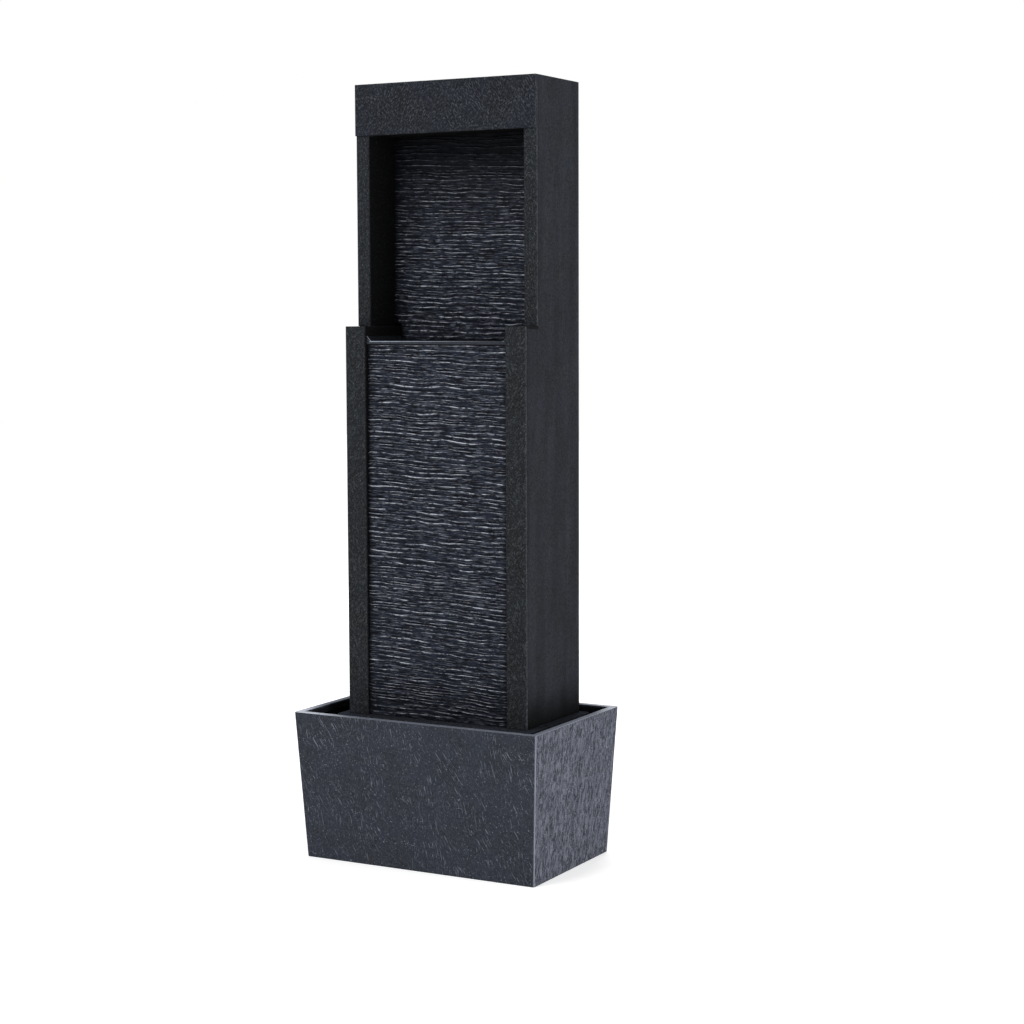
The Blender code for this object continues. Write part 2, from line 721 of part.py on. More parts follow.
def make_upper_frame():
    """Two narrow posts, the niche's side walls and soffit, and the backing of the upper rock."""
    plate_back = UPPER_FRONT_Y + FRAME_PLATE
    backing_back = UPPER_BACKING_Y + BACKING
    frame = box(
        "upper_frame", (-TOWER_HALF, UPPER_FRONT_Y, FRAME_FOOT_Z),
        (TOWER_HALF, backing_back, TOTAL_HEIGHT)
    )
    round_edges(frame, TOWER_EDGE_RADIUS, 2, lambda first, second: upright(first, second) and first.y < 0)
    above = TOTAL_HEIGHT + OVERSHOOT
    below = FRAME_FOOT_Z - OVERSHOOT
    beyond = backing_back + OVERSHOOT
    soffit_back = UPPER_FRONT_Y + SOFFIT_DEPTH
    soffit_top = HEADER_Z + RETURN_WALL
    niche = side_prism("niche and header room", [
        (UPPER_FRONT_Y - OVERSHOOT, below), (UPPER_BACKING_Y, below), (UPPER_BACKING_Y, above),
        (plate_back, above), (plate_back, soffit_top), (soffit_back, soffit_top),
        (soffit_back, HEADER_Z), (UPPER_FRONT_Y - OVERSHOOT, HEADER_Z),
    ], 2 * NICHE_HALF)
    ledge_back = plate_back + COVER_LEDGE - SEAT_GAP
    ledge_under = COVER_SEAT_Z - LEDGE_PLATE
    ledge = box(
        "front cover ledge", (-NICHE_HALF - OVERSHOOT, plate_back - FUSE_DEPTH, ledge_under),
        (NICHE_HALF + OVERSHOOT, ledge_back, COVER_SEAT_Z)
    )
    outside = TOWER_HALF + OVERSHOOT
    top_room = box(
        "room above the rock", (-outside, plate_back, ROCK_TOP_Z), (outside, beyond, above)
    )
    sides = mirrored_boxes(
        "beside the niche", (NICHE_HALF + RETURN_WALL, plate_back, below), (outside, beyond, above)
    )
    cut(frame, niche, top_room, *sides)
    return part(fuse(frame, ledge), TOWER_SLATE)


def make_header_fascia():
    """The band across the header, a little proud of the posts."""
    fascia = box(
        "header_fascia", (-TOWER_HALF, UPPER_FRONT_Y - FASCIA_PROUD, HEADER_Z),
        (TOWER_HALF, UPPER_FRONT_Y - SEAT_GAP, TOTAL_HEIGHT)
    )
    front = -(FASCIA_PROUD - SEAT_GAP) / 2
    round_edges(fascia, TOWER_EDGE_RADIUS, 2, lambda first, second: max(first.y, second.y) < front / 2)
    return part(fascia, TOWER_SLATE)


def make_lower_frame():
    """Two wide posts with their shoulders, cheeks and rails, and the backing of the lower rock."""
    cheek_back = UPPER_ROCK_BACK_Y
    frame = box(
        "lower_frame", (-TOWER_HALF, LOWER_FRONT_Y, TOWER_BOTTOM_Z),
        (TOWER_HALF, cheek_back, SHOULDER_Z)
    )
    round_edges(frame, TOWER_EDGE_RADIUS, 2, lambda first, second: upright(first, second) and first.y < 0)
    plate_back = LOWER_FRONT_Y + FRAME_PLATE
    backing_back = LOWER_BACKING_Y + BACKING
    channel_out = CHANNEL_HALF + RETURN_WALL
    rail_top = LEDGE_UNDER_Z - SEAT_GAP
    rail_bottom = rail_top - LEDGE_RAIL
    shoulder_z = SHOULDER_Z - FRAME_PLATE
    below = TOWER_BOTTOM_Z - OVERSHOOT
    above = SHOULDER_Z + OVERSHOOT
    beyond = cheek_back + OVERSHOOT
    outside = TOWER_HALF + OVERSHOOT
    channel = side_prism("channel and ledge room", [
        (LOWER_FRONT_Y - OVERSHOOT, below), (LOWER_BACKING_Y, below), (LOWER_BACKING_Y, rail_top),
        (beyond, rail_top), (beyond, above), (LOWER_FRONT_Y - OVERSHOOT, above),
    ], 2 * CHANNEL_HALF)
    under_rails = box("under the rails", (-outside, backing_back, below), (outside, beyond, rail_bottom))
    between_rails = box(
        "between the rails", (-CHANNEL_HALF + LEDGE_RAIL, backing_back, rail_bottom - OVERSHOOT),
        (CHANNEL_HALF - LEDGE_RAIL, beyond, rail_top + OVERSHOOT)
    )
    behind_posts = mirrored_boxes(
        "behind the post", (channel_out, plate_back, below), (outside, beyond, shoulder_z)
    )
    beside_upper_frame = mirrored_boxes(
        "casing room", (CASING_INNER_HALF - SEAT_GAP, CASING_UPPER_Y - SEAT_GAP, shoulder_z - OVERSHOOT),
        (outside, beyond, above)
    )
    return part(
        cut(frame, channel, under_rails, between_rails, *behind_posts, *beside_upper_frame), TOWER_SLATE
    )


def slate_depth(across, layer, seed):
    """How far a split layer stands out, from 0 to 1, drifting slowly along its edge."""
    place = Vector((across / RELIEF_LENGTH + 7.3 * seed, 2.7 * layer, seed))
    return min(1.0, max(0.0, 0.5 + 0.9 * noise.noise(place)))


def layer_wander(across, height, seed):
    """How far the layers rise and fall together, so that they look split and not ruled."""
    place = Vector((across / WANDER_LENGTH, height / WANDER_LENGTH, 11.0 * seed))
    return LAYER_WANDER * noise.noise(place)


def split_slate(name, half_width, bottom, top, back_y, foot_y, top_y, seed):
    """A rock panel: a sheet whose rows are the grooves and crests of thin layers, on a flat back."""
    layers = round((top - bottom) / LAYER_PITCH)
    rows = 2 * layers
    pitch = (top - bottom) / layers
    columns = round(2 * half_width / RELIEF_COLUMN)
    shape = bmesh.new()
    bmesh.ops.create_grid(shape, x_segments=columns, y_segments=rows, size=1.0)
    for vert in shape.verts:
        row = round((vert.co.y + 1) / 2 * rows)
        layer, crest = divmod(row, 2)
        across = vert.co.x * half_width
        height = bottom + (row + (2 * CREST_RISE if crest else 0.0)) * pitch / 2
        share = (height - bottom) / (top - bottom)
        fade = min(1.0, 12 * share * (1 - share))
        depth = slate_depth(across, layer, seed)
        stand = (1 - GROOVE_SHARE) * depth + GROOVE_SHARE if crest else GROOVE_SHARE * depth
        face = foot_y + (top_y - foot_y) * share
        lift = fade * layer_wander(across, height, seed)
        vert.co = (across, face - RELIEF_DEPTH * (stand - 0.5), height + lift)
    edges = [edge for edge in shape.edges if edge.is_boundary]
    made = bmesh.ops.extrude_edge_only(shape, edges=edges)["geom"]
    for vert in (item for item in made if isinstance(item, bmesh.types.BMVert)):
        vert.co.y = back_y
    loop = [edge for edge in shape.edges if edge.is_boundary]
    bmesh.ops.contextual_create(shape, geom=loop)
    bmesh.ops.recalc_face_normals(shape, faces=shape.faces)
    return from_bmesh(name, shape)


def make_upper_rock():
    """The rock face in the niche, narrower where it stands between the lower frame's cheeks."""
    foot_z = LEDGE_Z + SEAT_GAP
    rock = split_slate(
        "upper_rock_panel", NICHE_HALF - SEAT_GAP, foot_z, ROCK_TOP_Z,
        UPPER_ROCK_BACK_Y, UPPER_ROCK_FOOT_Y, UPPER_ROCK_TOP_Y, seed=1
    )
    corners = mirrored_boxes(
        "rock foot", (CHANNEL_HALF - SEAT_GAP, UPPER_ROCK_FOOT_Y - OVERSHOOT, foot_z - OVERSHOOT),
        (NICHE_HALF + OVERSHOOT, UPPER_ROCK_BACK_Y + OVERSHOOT, SHOULDER_Z + SEAT_GAP)
    )
    return part(cut(rock, *corners), ROCK_SLATE)


def make_lower_rock():
    """The rock face between the lower posts."""
    rock = split_slate(
        "lower_rock_panel", CHANNEL_HALF - SEAT_GAP, TOWER_BOTTOM_Z, LEDGE_UNDER_Z - SEAT_GAP,
        LOWER_ROCK_BACK_Y, LOWER_ROCK_FOOT_Y, LOWER_ROCK_TOP_Y, seed=2
    )
    return part(rock, ROCK_SLATE)


def make_spill_ledge():
    """The shelf that carries the water from the upper rock to the lip over the lower one."""
    half = CHANNEL_HALF - SEAT_GAP
    chamfer = LEDGE_CHAMFER
    outline = [
        (-half, LEDGE_UNDER_Z), (half, LEDGE_UNDER_Z), (half, LEDGE_Z + chamfer),
        (half - chamfer, LEDGE_Z), (-half + chamfer, LEDGE_Z), (-half, LEDGE_Z + chamfer),
    ]
    front = LOWER_ROCK_TOP_Y - RELIEF_DEPTH
    back = UPPER_ROCK_FOOT_Y - RELIEF_DEPTH
    tray = facing_front(flat_piece("spill_ledge", outline, back - front), y=(front + back) / 2)
    lip_face = (back - front) / 2 - FUSE_DEPTH
    lip_height = LEDGE_Z - FUSE_DEPTH
    round_edges(
        tray, LEDGE_LIP_RADIUS, 3,
        lambda first, second: min(first.z, second.z) > lip_face
        and min(first.y, second.y) > lip_height and abs(first.y - second.y) < FUSE_DEPTH
    )
    foot = box(
        "ledge foot", (-half + chamfer, back - FUSE_DEPTH, LEDGE_UNDER_Z),
        (half - chamfer, UPPER_ROCK_BACK_Y, LEDGE_Z)
    )
    return part(fuse(tray, foot), ROCK_SLATE)


def barb_profile(base, length):
    """A hose barb's outer side from its root at height 0 to its tip below, with two ridges."""
    radius = HOSE_RADIUS - HOSE_WALL - BORE_GAP - BARB_RIDGE
    profile = [(0.0, base), (radius, base)]
    for end in BARB_RIDGE_ENDS:
        root = end - BARB_RIDGE_SHARE
        profile.append((radius, -length * root))
        profile.append((radius + BARB_RIDGE, -length * (root + BARB_STEP_SHARE)))
        profile.append((radius, -length * end))
    profile.append((radius - BARB_RIDGE, -length))
    profile.append((0.0, -length))
    return profile


def make_trough():
    """The open trough that feeds the weir, hooked over the upper rock, with its barb below."""
    half = TROUGH_WIDTH / 2
    top_z = TROUGH_FLOOR_Z + TROUGH_HEIGHT
    back_y = TROUGH_Y + TROUGH_DEPTH
    trough = box("water_trough", (-half, TROUGH_Y, TROUGH_FLOOR_Z), (half, back_y, top_z))
    weir_z = ROCK_TOP_Z + SEAT_GAP + WEIR_LIP
    lip = box(
        "weir lip",
        (-NICHE_HALF + SEAT_GAP, UPPER_ROCK_TOP_Y - RELIEF_DEPTH - WEIR_OVERHANG, ROCK_TOP_Z + SEAT_GAP),
        (NICHE_HALF - SEAT_GAP, TROUGH_Y + TROUGH_WALL, weir_z),
    )
    channel = box(
        "trough channel", (-half + TROUGH_WALL, TROUGH_Y + TROUGH_WALL, TROUGH_FLOOR_Z + TROUGH_WALL),
        (half - TROUGH_WALL, back_y - TROUGH_WALL, top_z + OVERSHOOT)
    )
    weir = box(
        "weir gap", (-half + TROUGH_WALL, TROUGH_Y - OVERSHOOT, weir_z),
        (half - TROUGH_WALL, TROUGH_Y + TROUGH_WALL + FUSE_DEPTH, top_z + OVERSHOOT)
    )
    root = (0.0, HOSE_RISE_Y, TROUGH_FLOOR_Z)
    barb = turned("trough barb", barb_profile(FUSE_DEPTH, BARB_LENGTH), root, steps=20)
    bore = rod(
        "trough bore", (0.0, HOSE_RISE_Y, TROUGH_FLOOR_Z - BARB_LENGTH - OVERSHOOT),
        (0.0, HOSE_RISE_Y, TROUGH_FLOOR_Z + TROUGH_WALL + FUSE_DEPTH), BARB_BORE_RADIUS, segments=16
    )
    fuse(trough, lip)
    cut(trough, channel, weir)
    fuse(trough, barb)
    return part(cut(trough, bore), INNER_PLASTIC)


def hose_middle(height):
    """Where the hose's centre line lies at a height: over the pump, then close to the back wall."""
    share = (height - OUTLET_Z - HOSE_BEND_START) / HOSE_BEND_LENGTH
    share = min(1.0, max(0.0, share))
    ease = share * share * (3 - 2 * share)
    return Vector((0.0, OUTLET_Y + (HOSE_RISE_Y - OUTLET_Y) * ease, height))


def make_hose():
    """The hose, an open tube with a real wall, pushed over both barbs."""
    bottom = OUTLET_Z + SEAT_GAP
    top = TROUGH_FLOOR_Z - SEAT_GAP
    steps = round((top - bottom) / HOSE_STEP)
    curve = bpy.data.curves.new("supply_hose", 'CURVE')
    curve.dimensions = '3D'
    curve.bevel_depth = HOSE_RADIUS
    curve.bevel_resolution = 3
    spline = curve.splines.new('POLY')
    spline.points.add(steps)
    for index, point in enumerate(spline.points):
        point.co = (*hose_middle(bottom + (top - bottom) * index / steps), 1.0)
    curve.materials.append(HOSE_PVC)
    hose = bpy.data.objects.new("supply_hose", curve)
    wall = hose.modifiers.new("wall", 'SOLIDIFY')
    wall.thickness = HOSE_WALL
    wall.offset = -1.0
    PARTS.objects.link(hose)
    return hose


def make_hose_clamp(name, height):
    """A worm-drive band round the hose, with its screw housing at the side."""
    middle = hose_middle(height)
    inner = HOSE_RADIUS + BORE_GAP
    outer = inner + CLAMP_BAND
    half = CLAMP_WIDTH / 2
    band = turned(name, [(outer, half), (outer, -half), (inner, -half), (inner, half)], middle, steps=24)
    housing = box(
        f"{name} housing", (middle.x + inner + CLAMP_BAND / 2, middle.y - half, height - half),
        (middle.x + outer + CLAMP_HOUSING, middle.y + half, height + half)
    )
    return part(fuse(band, housing), STEEL)


def clip_ring(name, centre, radius, width):
    """A ring round a vertical tube with a foot that reaches the back wall."""
    inner = radius + BORE_GAP
    outer = inner + CLIP_BAND
    rise = Vector((0, 0, width / 2))
    clip = rod(name, centre - rise, centre + rise, outer, segments=20)
    foot = box(
        f"{name} foot", (centre.x - outer, centre.y, centre.z - width / 2),
        (centre.x + outer, CASING_INNER_Y - SEAT_GAP, centre.z + width / 2)
    )
    reach = Vector((0, 0, width / 2 + OVERSHOOT))
    hole = rod(f"{name} hole", centre - reach, centre + reach, inner, segments=20)
    mouth_half = radius * CLIP_MOUTH_SHARE
    mouth = box(
        f"{name} mouth", (centre.x - mouth_half, centre.y - outer - OVERSHOOT, centre.z - width),
        (centre.x + mouth_half, centre.y, centre.z + width)
    )
    fuse(clip, foot)
    return part(cut(clip, hole, mouth), INNER_PLASTIC)


def make_hose_clips():
    """The clips that hold the hose to the back wall, at shares of the total height."""
    for number, share in enumerate(HOSE_CLIP_SHARES, start=1):
        clip_ring(f"hose_clip_{number}", hose_middle(share * TOTAL_HEIGHT), HOSE_RADIUS, CLIP_WIDTH)


def lead_middle(height):
    """Where the pump lead runs down the back corner of the tower."""
    x = CASING_INNER_HALF - LEAD_RADIUS - BORE_GAP - CLIP_BAND - SEAT_GAP
    y = CASING_INNER_Y - LEAD_RADIUS - BORE_GAP - CLIP_BAND - SEAT_GAP
    return Vector((x, y, height))


def make_lead_clips():
    """The clips that hold the pump lead."""
    for number, share in enumerate(LEAD_CLIP_SHARES, start=1):
        clip_ring(f"lead_clip_{number}", lead_middle(share * TOTAL_HEIGHT), LEAD_RADIUS, CLIP_WIDTH / 2)


def along_shaft(first, second):
    """True for an edge that runs along Y, as the pump's shaft does."""
    return abs(first.y - second.y) > FUSE_DEPTH


def pump_point(x, y, z):
    """A point given from the pump's shaft at the joint of motor and volute."""
    return Vector((x, PUMP_Y + y, PUMP_Z + z))


def gland_place():
    """The floor of the gland on the motor's right side, where the pump lead ends."""
    return pump_point(MOTOR_HALF_X + FUSE_DEPTH, 0.7 * MOTOR_LENGTH, 0.0)


def make_pump_body():
    """Motor block and volute in one moulding, with the rotor's bore and the outlet barb on top."""
    half_z = MOTOR_HEIGHT / 2
    motor = box(
        "pump_body", pump_point(-MOTOR_HALF_X, 0.0, -half_z), pump_point(MOTOR_HALF_X, MOTOR_LENGTH, half_z)
    )
    round_edges(motor, PUMP_CORNER_RADIUS, 3, along_shaft)
    volute = rod("volute", pump_point(0, -VOLUTE_DEPTH, 0), pump_point(0, FUSE_DEPTH, 0), VOLUTE_RADIUS)
    neck_radius = (VOLUTE_DEPTH - FUSE_DEPTH) / 2
    neck = rod(
        "outlet neck", (0.0, OUTLET_Y, PUMP_Z), (0.0, OUTLET_Y, OUTLET_Z), neck_radius, segments=20
    )
    barb = turned(
        "pump barb", barb_profile(FUSE_DEPTH, BARB_LENGTH), (0.0, OUTLET_Y, OUTLET_Z),
        tilt=(math.radians(180), 0.0, 0.0), steps=20
    )
    chamber = rod(
        "volute chamber", pump_point(0, -VOLUTE_DEPTH - OVERSHOOT, 0), pump_point(0, -CHAMBER_BACK, 0),
        CHAMBER_RADIUS
    )
    rotor_bore = rod(
        "rotor bore", pump_point(0, -VOLUTE_DEPTH, 0), pump_point(0, ROTOR_LENGTH + MOTOR_WALL, 0),
        ROTOR_BORE_RADIUS
    )
    shaft_seat = rod(
        "shaft seat", pump_point(0, ROTOR_LENGTH, 0), pump_point(0, MOTOR_LENGTH - MOTOR_WALL, 0),
        SHAFT_RADIUS + PIN_GAP / 2, segments=12
    )
    outlet_bore = rod(
        "outlet bore", (0.0, OUTLET_Y, PUMP_Z), (0.0, OUTLET_Y, OUTLET_Z + BARB_LENGTH + OVERSHOOT),
        BARB_BORE_RADIUS, segments=16
    )
    seat = gland_place()
    gland = rod(
        "lead gland", seat - Vector((2 * FUSE_DEPTH, 0, 0)), seat + Vector((GLAND_LENGTH, 0, 0)),
        LEAD_RADIUS + GLAND_WALL, segments=16
    )
    gland_end = seat + Vector((GLAND_LENGTH + OVERSHOOT, 0, 0))
    gland_hole = rod("gland hole", seat, gland_end, LEAD_RADIUS + BORE_GAP, segments=12)
    fuse(motor, volute, neck, barb, gland)
    return part(cut(motor, chamber, rotor_bore, shaft_seat, outlet_bore, gland_hole), PUMP_PLASTIC)


def make_pump_cover():
    """The plate that closes the volute, with the intake eye and the shaft's front seat."""
    front = -VOLUTE_DEPTH - SEAT_GAP - PUMP_COVER
    back = front + PUMP_COVER
    cover = rod("pump_cover", pump_point(0, front, 0), pump_point(0, back, 0), VOLUTE_RADIUS)
    eye = rod(
        "intake eye", pump_point(0, front - OVERSHOOT, 0), pump_point(0, back + OVERSHOOT, 0), EYE_RADIUS
    )
    bar = box(
        "shaft bar", pump_point(-EYE_RADIUS - FUSE_DEPTH, front, -SHAFT_BAR_HALF),
        pump_point(EYE_RADIUS + FUSE_DEPTH, back, SHAFT_BAR_HALF)
    )
    seat = rod(
        "front shaft seat", pump_point(0, front + SHAFT_SEAT_SKIN, 0), pump_point(0, back + OVERSHOOT, 0),
        SHAFT_RADIUS + PIN_GAP / 2, segments=12
    )
    cut(cover, eye)
    fuse(cover, bar)
    return part(cut(cover, seat), PUMP_PLASTIC)


def make_shaft():
    """The fixed ceramic shaft that the impeller turns on."""
    start = -VOLUTE_DEPTH - PUMP_COVER + SHAFT_SEAT_SKIN
    end = MOTOR_LENGTH - MOTOR_WALL - SEAT_GAP
    shaft = rod("pump_shaft", pump_point(0, start, 0), pump_point(0, end, 0), SHAFT_RADIUS, segments=12)
    return part(shaft, CERAMIC)


def make_impeller():
    """Magnet rotor, hub disc and blades in one turning piece."""
    axis = bpy.data.objects.new("impeller axis", None)
    PARTS.objects.link(axis)
    axis.location = pump_point(0, 0, 0)
    blade_front = -VOLUTE_DEPTH + BLADE_CLEARANCE
    disc_back = blade_front + BLADE_DEPTH + ROTOR_DISC
    bore = SHAFT_RADIUS + PIN_GAP
    profile = [
        (bore, -blade_front), (HUB_RADIUS, -blade_front), (HUB_RADIUS, -blade_front - BLADE_DEPTH),
        (BLADE_RADIUS, -blade_front - BLADE_DEPTH), (BLADE_RADIUS, -disc_back), (HUB_RADIUS, -disc_back),
        (HUB_RADIUS, 0.0), (ROTOR_RADIUS, 0.0), (ROTOR_RADIUS, -ROTOR_LENGTH), (bore, -ROTOR_LENGTH),
    ]
    rotor = turned("pump_impeller", profile, (0, 0, 0), tilt=(math.radians(90), 0.0, 0.0), steps=24)
    rotor.parent = axis
    inner, outer = HUB_RADIUS - FUSE_DEPTH, BLADE_RADIUS - FUSE_DEPTH / 2
    reach = (inner + outer) / 2
    for number in range(BLADE_COUNT):
        angle = 2 * math.pi * number / BLADE_COUNT
        blade = box(
            f"blade {number + 1}", (inner - reach, -BLADE_DEPTH / 2, -BLADE_WIDTH / 2),
            (outer - reach, BLADE_DEPTH / 2, BLADE_WIDTH / 2)
        )
        blade.parent = axis
        middle_y = blade_front + BLADE_DEPTH / 2 + FUSE_DEPTH / 2
        blade.location = (reach * math.cos(angle), middle_y, -reach * math.sin(angle))
        blade.rotation_euler = (0.0, angle, 0.0)
        fuse(rotor, blade)
    return part(rotor, ROTOR_WHITE)


def make_strainer():
    """The slotted housing in front of the intake."""
    back = -VOLUTE_DEPTH - 2 * SEAT_GAP - PUMP_COVER
    front = back - STRAINER_DEPTH
    half_z = MOTOR_HEIGHT / 2
    shell = box(
        "pump_strainer", pump_point(-MOTOR_HALF_X, front, -half_z), pump_point(MOTOR_HALF_X, back, half_z)
    )
    round_edges(shell, PUMP_CORNER_RADIUS, 3, along_shaft)
    hollow = box(
        "strainer hollow",
        pump_point(-MOTOR_HALF_X + STRAINER_WALL, front + STRAINER_WALL, -half_z + STRAINER_WALL),
        pump_point(MOTOR_HALF_X - STRAINER_WALL, back + OVERSHOOT, half_z - STRAINER_WALL),
    )
    wall_back = front + STRAINER_WALL + FUSE_DEPTH
    eye = rod(
        "dial eye", pump_point(0, front - OVERSHOOT, 0), pump_point(0, wall_back, 0),
        DIAL_STEM_RADIUS + BORE_GAP, segments=16
    )
    cut(shell, hollow, eye)
    for number in range(STRAINER_SLOTS):
        share = (number + 0.5) / STRAINER_SLOTS - 0.5
        z = share * (MOTOR_HEIGHT - 2 * STRAINER_WALL)
        reach = MOTOR_HALF_X + OVERSHOOT
        slot = box(
            f"side slot {number + 1}", pump_point(-reach, front + SLOT_MARGIN, z - SLOT_WIDTH / 2),
            pump_point(reach, back - SLOT_MARGIN, z + SLOT_WIDTH / 2)
        )
        cut(shell, slot)
    return part(shell, PUMP_PLASTIC)


def make_flow_dial():
    """The knob on the strainer that throttles the intake."""
    front = PUMP_Y - VOLUTE_DEPTH - 2 * SEAT_GAP - PUMP_COVER - STRAINER_DEPTH
    plate_front = -SEAT_GAP - DIAL_PLATE
    axis = bpy.data.objects.new("dial axis", None)
    PARTS.objects.link(axis)
    axis.location = (0.0, front, PUMP_Z)
    disc = rod("flow_dial", (0, plate_front, 0), (0, -SEAT_GAP, 0), DIAL_RADIUS)
    stem_end = STRAINER_WALL + FUSE_DEPTH
    stem = rod("dial stem", (0, -SEAT_GAP - FUSE_DEPTH, 0), (0, stem_end, 0), DIAL_STEM_RADIUS, segments=16)
    grip = box(
        "dial grip", (-DIAL_RADIUS + GRIP_INSET, plate_front - DIAL_GRIP, -DIAL_GRIP_HALF),
        (DIAL_RADIUS - GRIP_INSET, plate_front + FUSE_DEPTH, DIAL_GRIP_HALF)
    )
    for piece in (disc, stem, grip):
        piece.parent = axis
    return part(fuse(disc, stem, grip), ROTOR_WHITE)


def make_pump_feet():
    """Four suction cups under the motor block."""
    top = FOOT_HEIGHT
    inside_rim = FOOT_RADIUS - FOOT_RIM
    profile = [
        (0.0, top), (FOOT_NECK_RADIUS, top), (FOOT_NECK_RADIUS, 0.6 * top), (inside_rim, 0.15 * top),
        (FOOT_RADIUS, 0.0), (inside_rim, 0.0), (FOOT_CUP_RADIUS, 0.3 * top), (0.0, 0.35 * top),
    ]
    centre = pump_point(0.0, MOTOR_LENGTH / 2, 0.0)
    places = [(side, row) for side in (-1, 1) for row in (-1, 1)]
    for number, (side, row) in enumerate(places, start=1):
        place = (
            centre.x + side * FOOT_SPREAD_X, centre.y + row * FOOT_SPREAD_Y, BASIN_FLOOR + SEAT_GAP
        )
        part(turned(f"pump_foot_{number}", profile, place, steps=12), RUBBER)


def cover_limits():
    """Corners of the top cover's plate, seated inside the casing and behind the upper frame."""
    low = (-CASING_INNER_HALF + SEAT_GAP, CASING_UPPER_Y, TOTAL_HEIGHT - COVER_PLATE)
    high = (CASING_INNER_HALF - SEAT_GAP, CASING_INNER_Y - SEAT_GAP, TOTAL_HEIGHT)
    return low, high


def tray_limits(inset):
    """Half width, front and back of the panel's tray, moved in by an inset."""
    low, high = cover_limits()
    margin = TRAY_MARGIN + inset
    return high[0] - margin, low[1] + margin / 2 + inset / 2, high[1] - margin / 2 - inset / 2


def make_top_cover():
    """The lid in the tower's top, with the tray that the solar panel lies in."""
    low, high = cover_limits()
    cover = box("top_cover", low, high)
    half, front, back = tray_limits(0.0)
    tray = box("panel tray", (-half, front, TRAY_BOTTOM_Z), (half, back, TOTAL_HEIGHT - FUSE_DEPTH))
    half, front, back = tray_limits(TRAY_WALL)
    pocket = box(
        "panel pocket", (-half, front, TRAY_BOTTOM_Z + TRAY_FLOOR), (half, back, TOTAL_HEIGHT + OVERSHOOT)
    )
    place = solar_lead_place()
    hole = rod(
        "panel lead hole", (place.x, place.y, TRAY_BOTTOM_Z - OVERSHOOT),
        (place.x, place.y, TRAY_BOTTOM_Z + TRAY_FLOOR + FUSE_DEPTH), THIN_LEAD_RADIUS + BORE_GAP, segments=12
    )
    fuse(cover, tray)
    return part(cut(cover, pocket, hole), INNER_PLASTIC)


def make_solar_panel():
    """The cell sheet and the clear sheet over it."""
    half, front, back = tray_limits(TRAY_WALL + SEAT_GAP)
    bottom = TRAY_BOTTOM_Z + TRAY_FLOOR + SEAT_GAP
    cells = box("solar_cells", (-half, front, bottom), (half, back, bottom + CELL_SHEET))
    part(cells, SOLAR_BLUE)
    glass_z = bottom + CELL_SHEET + SEAT_GAP
    glass = box("solar_glass", (-half, front, glass_z), (half, back, glass_z + GLASS_SHEET))
    part(glass, CLEAR_GLASS)


def box_limits():
    """Corners of the battery box, which stands on the soffit behind the fascia."""
    front = UPPER_FRONT_Y + FRAME_PLATE + SEAT_GAP
    bottom = HEADER_Z + RETURN_WALL + SEAT_GAP
    return (-BOX_WIDTH / 2, front, bottom), (BOX_WIDTH / 2, front + BOX_DEPTH, bottom + BOX_HEIGHT)


def solar_lead_place():
    """Where the panel's lead enters the box lid."""
    low, high = box_limits()
    return Vector((high[0] - BOARD_WIDTH / 2, low[1] + BOX_DEPTH * 0.65, high[2]))


def pump_lead_exit():
    """Where the pump's lead leaves the box."""
    low, high = box_limits()
    return Vector((high[0], low[1] + BOX_DEPTH * 0.35, low[2] + BOX_HEIGHT * 0.35))


def switch_lead_entry():
    """Where the button's lead enters the box."""
    low, high = box_limits()
    return Vector((high[0], low[1] + BOX_DEPTH * 0.80, low[2] + BOX_HEIGHT * 0.70))


def make_battery_box():
    """The open box and its lid, with holes for the three leads."""
    low, high = box_limits()
    case = box("battery_box", low, high)
    hollow = box(
        "box hollow", (low[0] + BOX_WALL, low[1] + BOX_WALL, low[2] + BOX_WALL),
        (high[0] - BOX_WALL, high[1] - BOX_WALL, high[2] + OVERSHOOT)
    )
    across = Vector((BOX_WALL + FUSE_DEPTH, 0.0, 0.0))
    out, entry = pump_lead_exit(), switch_lead_entry()
    pump_hole = rod("pump lead hole", out - across, out + across, LEAD_RADIUS + BORE_GAP, segments=12)
    switch_hole = rod(
        "switch lead hole", entry - across, entry + across, THIN_LEAD_RADIUS + BORE_GAP, segments=12
    )
    part(cut(case, hollow, pump_hole, switch_hole), INNER_PLASTIC)
    lid_z = high[2] + SEAT_GAP
    lid = box("battery_box_lid", (low[0], low[1], lid_z), (high[0], high[1], lid_z + BOX_LID))
    place = solar_lead_place()
    hole = rod(
        "solar lead hole", (place.x, place.y, lid_z - FUSE_DEPTH),
        (place.x, place.y, lid_z + BOX_LID + FUSE_DEPTH), THIN_LEAD_RADIUS + BORE_GAP, segments=12
    )
    part(cut(lid, hole), INNER_PLASTIC)


def make_battery_cells():
    """Two round cells lying side by side in the box."""
    low, high = box_limits()
    body = CELL_LENGTH - CELL_NUB
    profile = [
        (0.0, CELL_LENGTH), (CELL_NUB_RADIUS, CELL_LENGTH), (CELL_NUB_RADIUS, body),
        (CELL_RADIUS, body), (CELL_RADIUS, 0.0), (0.0, 0.0),
    ]
    start_x = low[0] + BOX_WALL + SEAT_GAP
    z = low[2] + BOX_WALL + SEAT_GAP + CELL_RADIUS
    for number in (1, 2):
        y = low[1] + BOX_WALL + SEAT_GAP + CELL_RADIUS + (number - 1) * (2 * CELL_RADIUS + SEAT_GAP)
        tilt = (0.0, math.radians(90), 0.0)
        part(turned(f"battery_cell_{number}", profile, (start_x, y, z), tilt), CELL_WRAP)


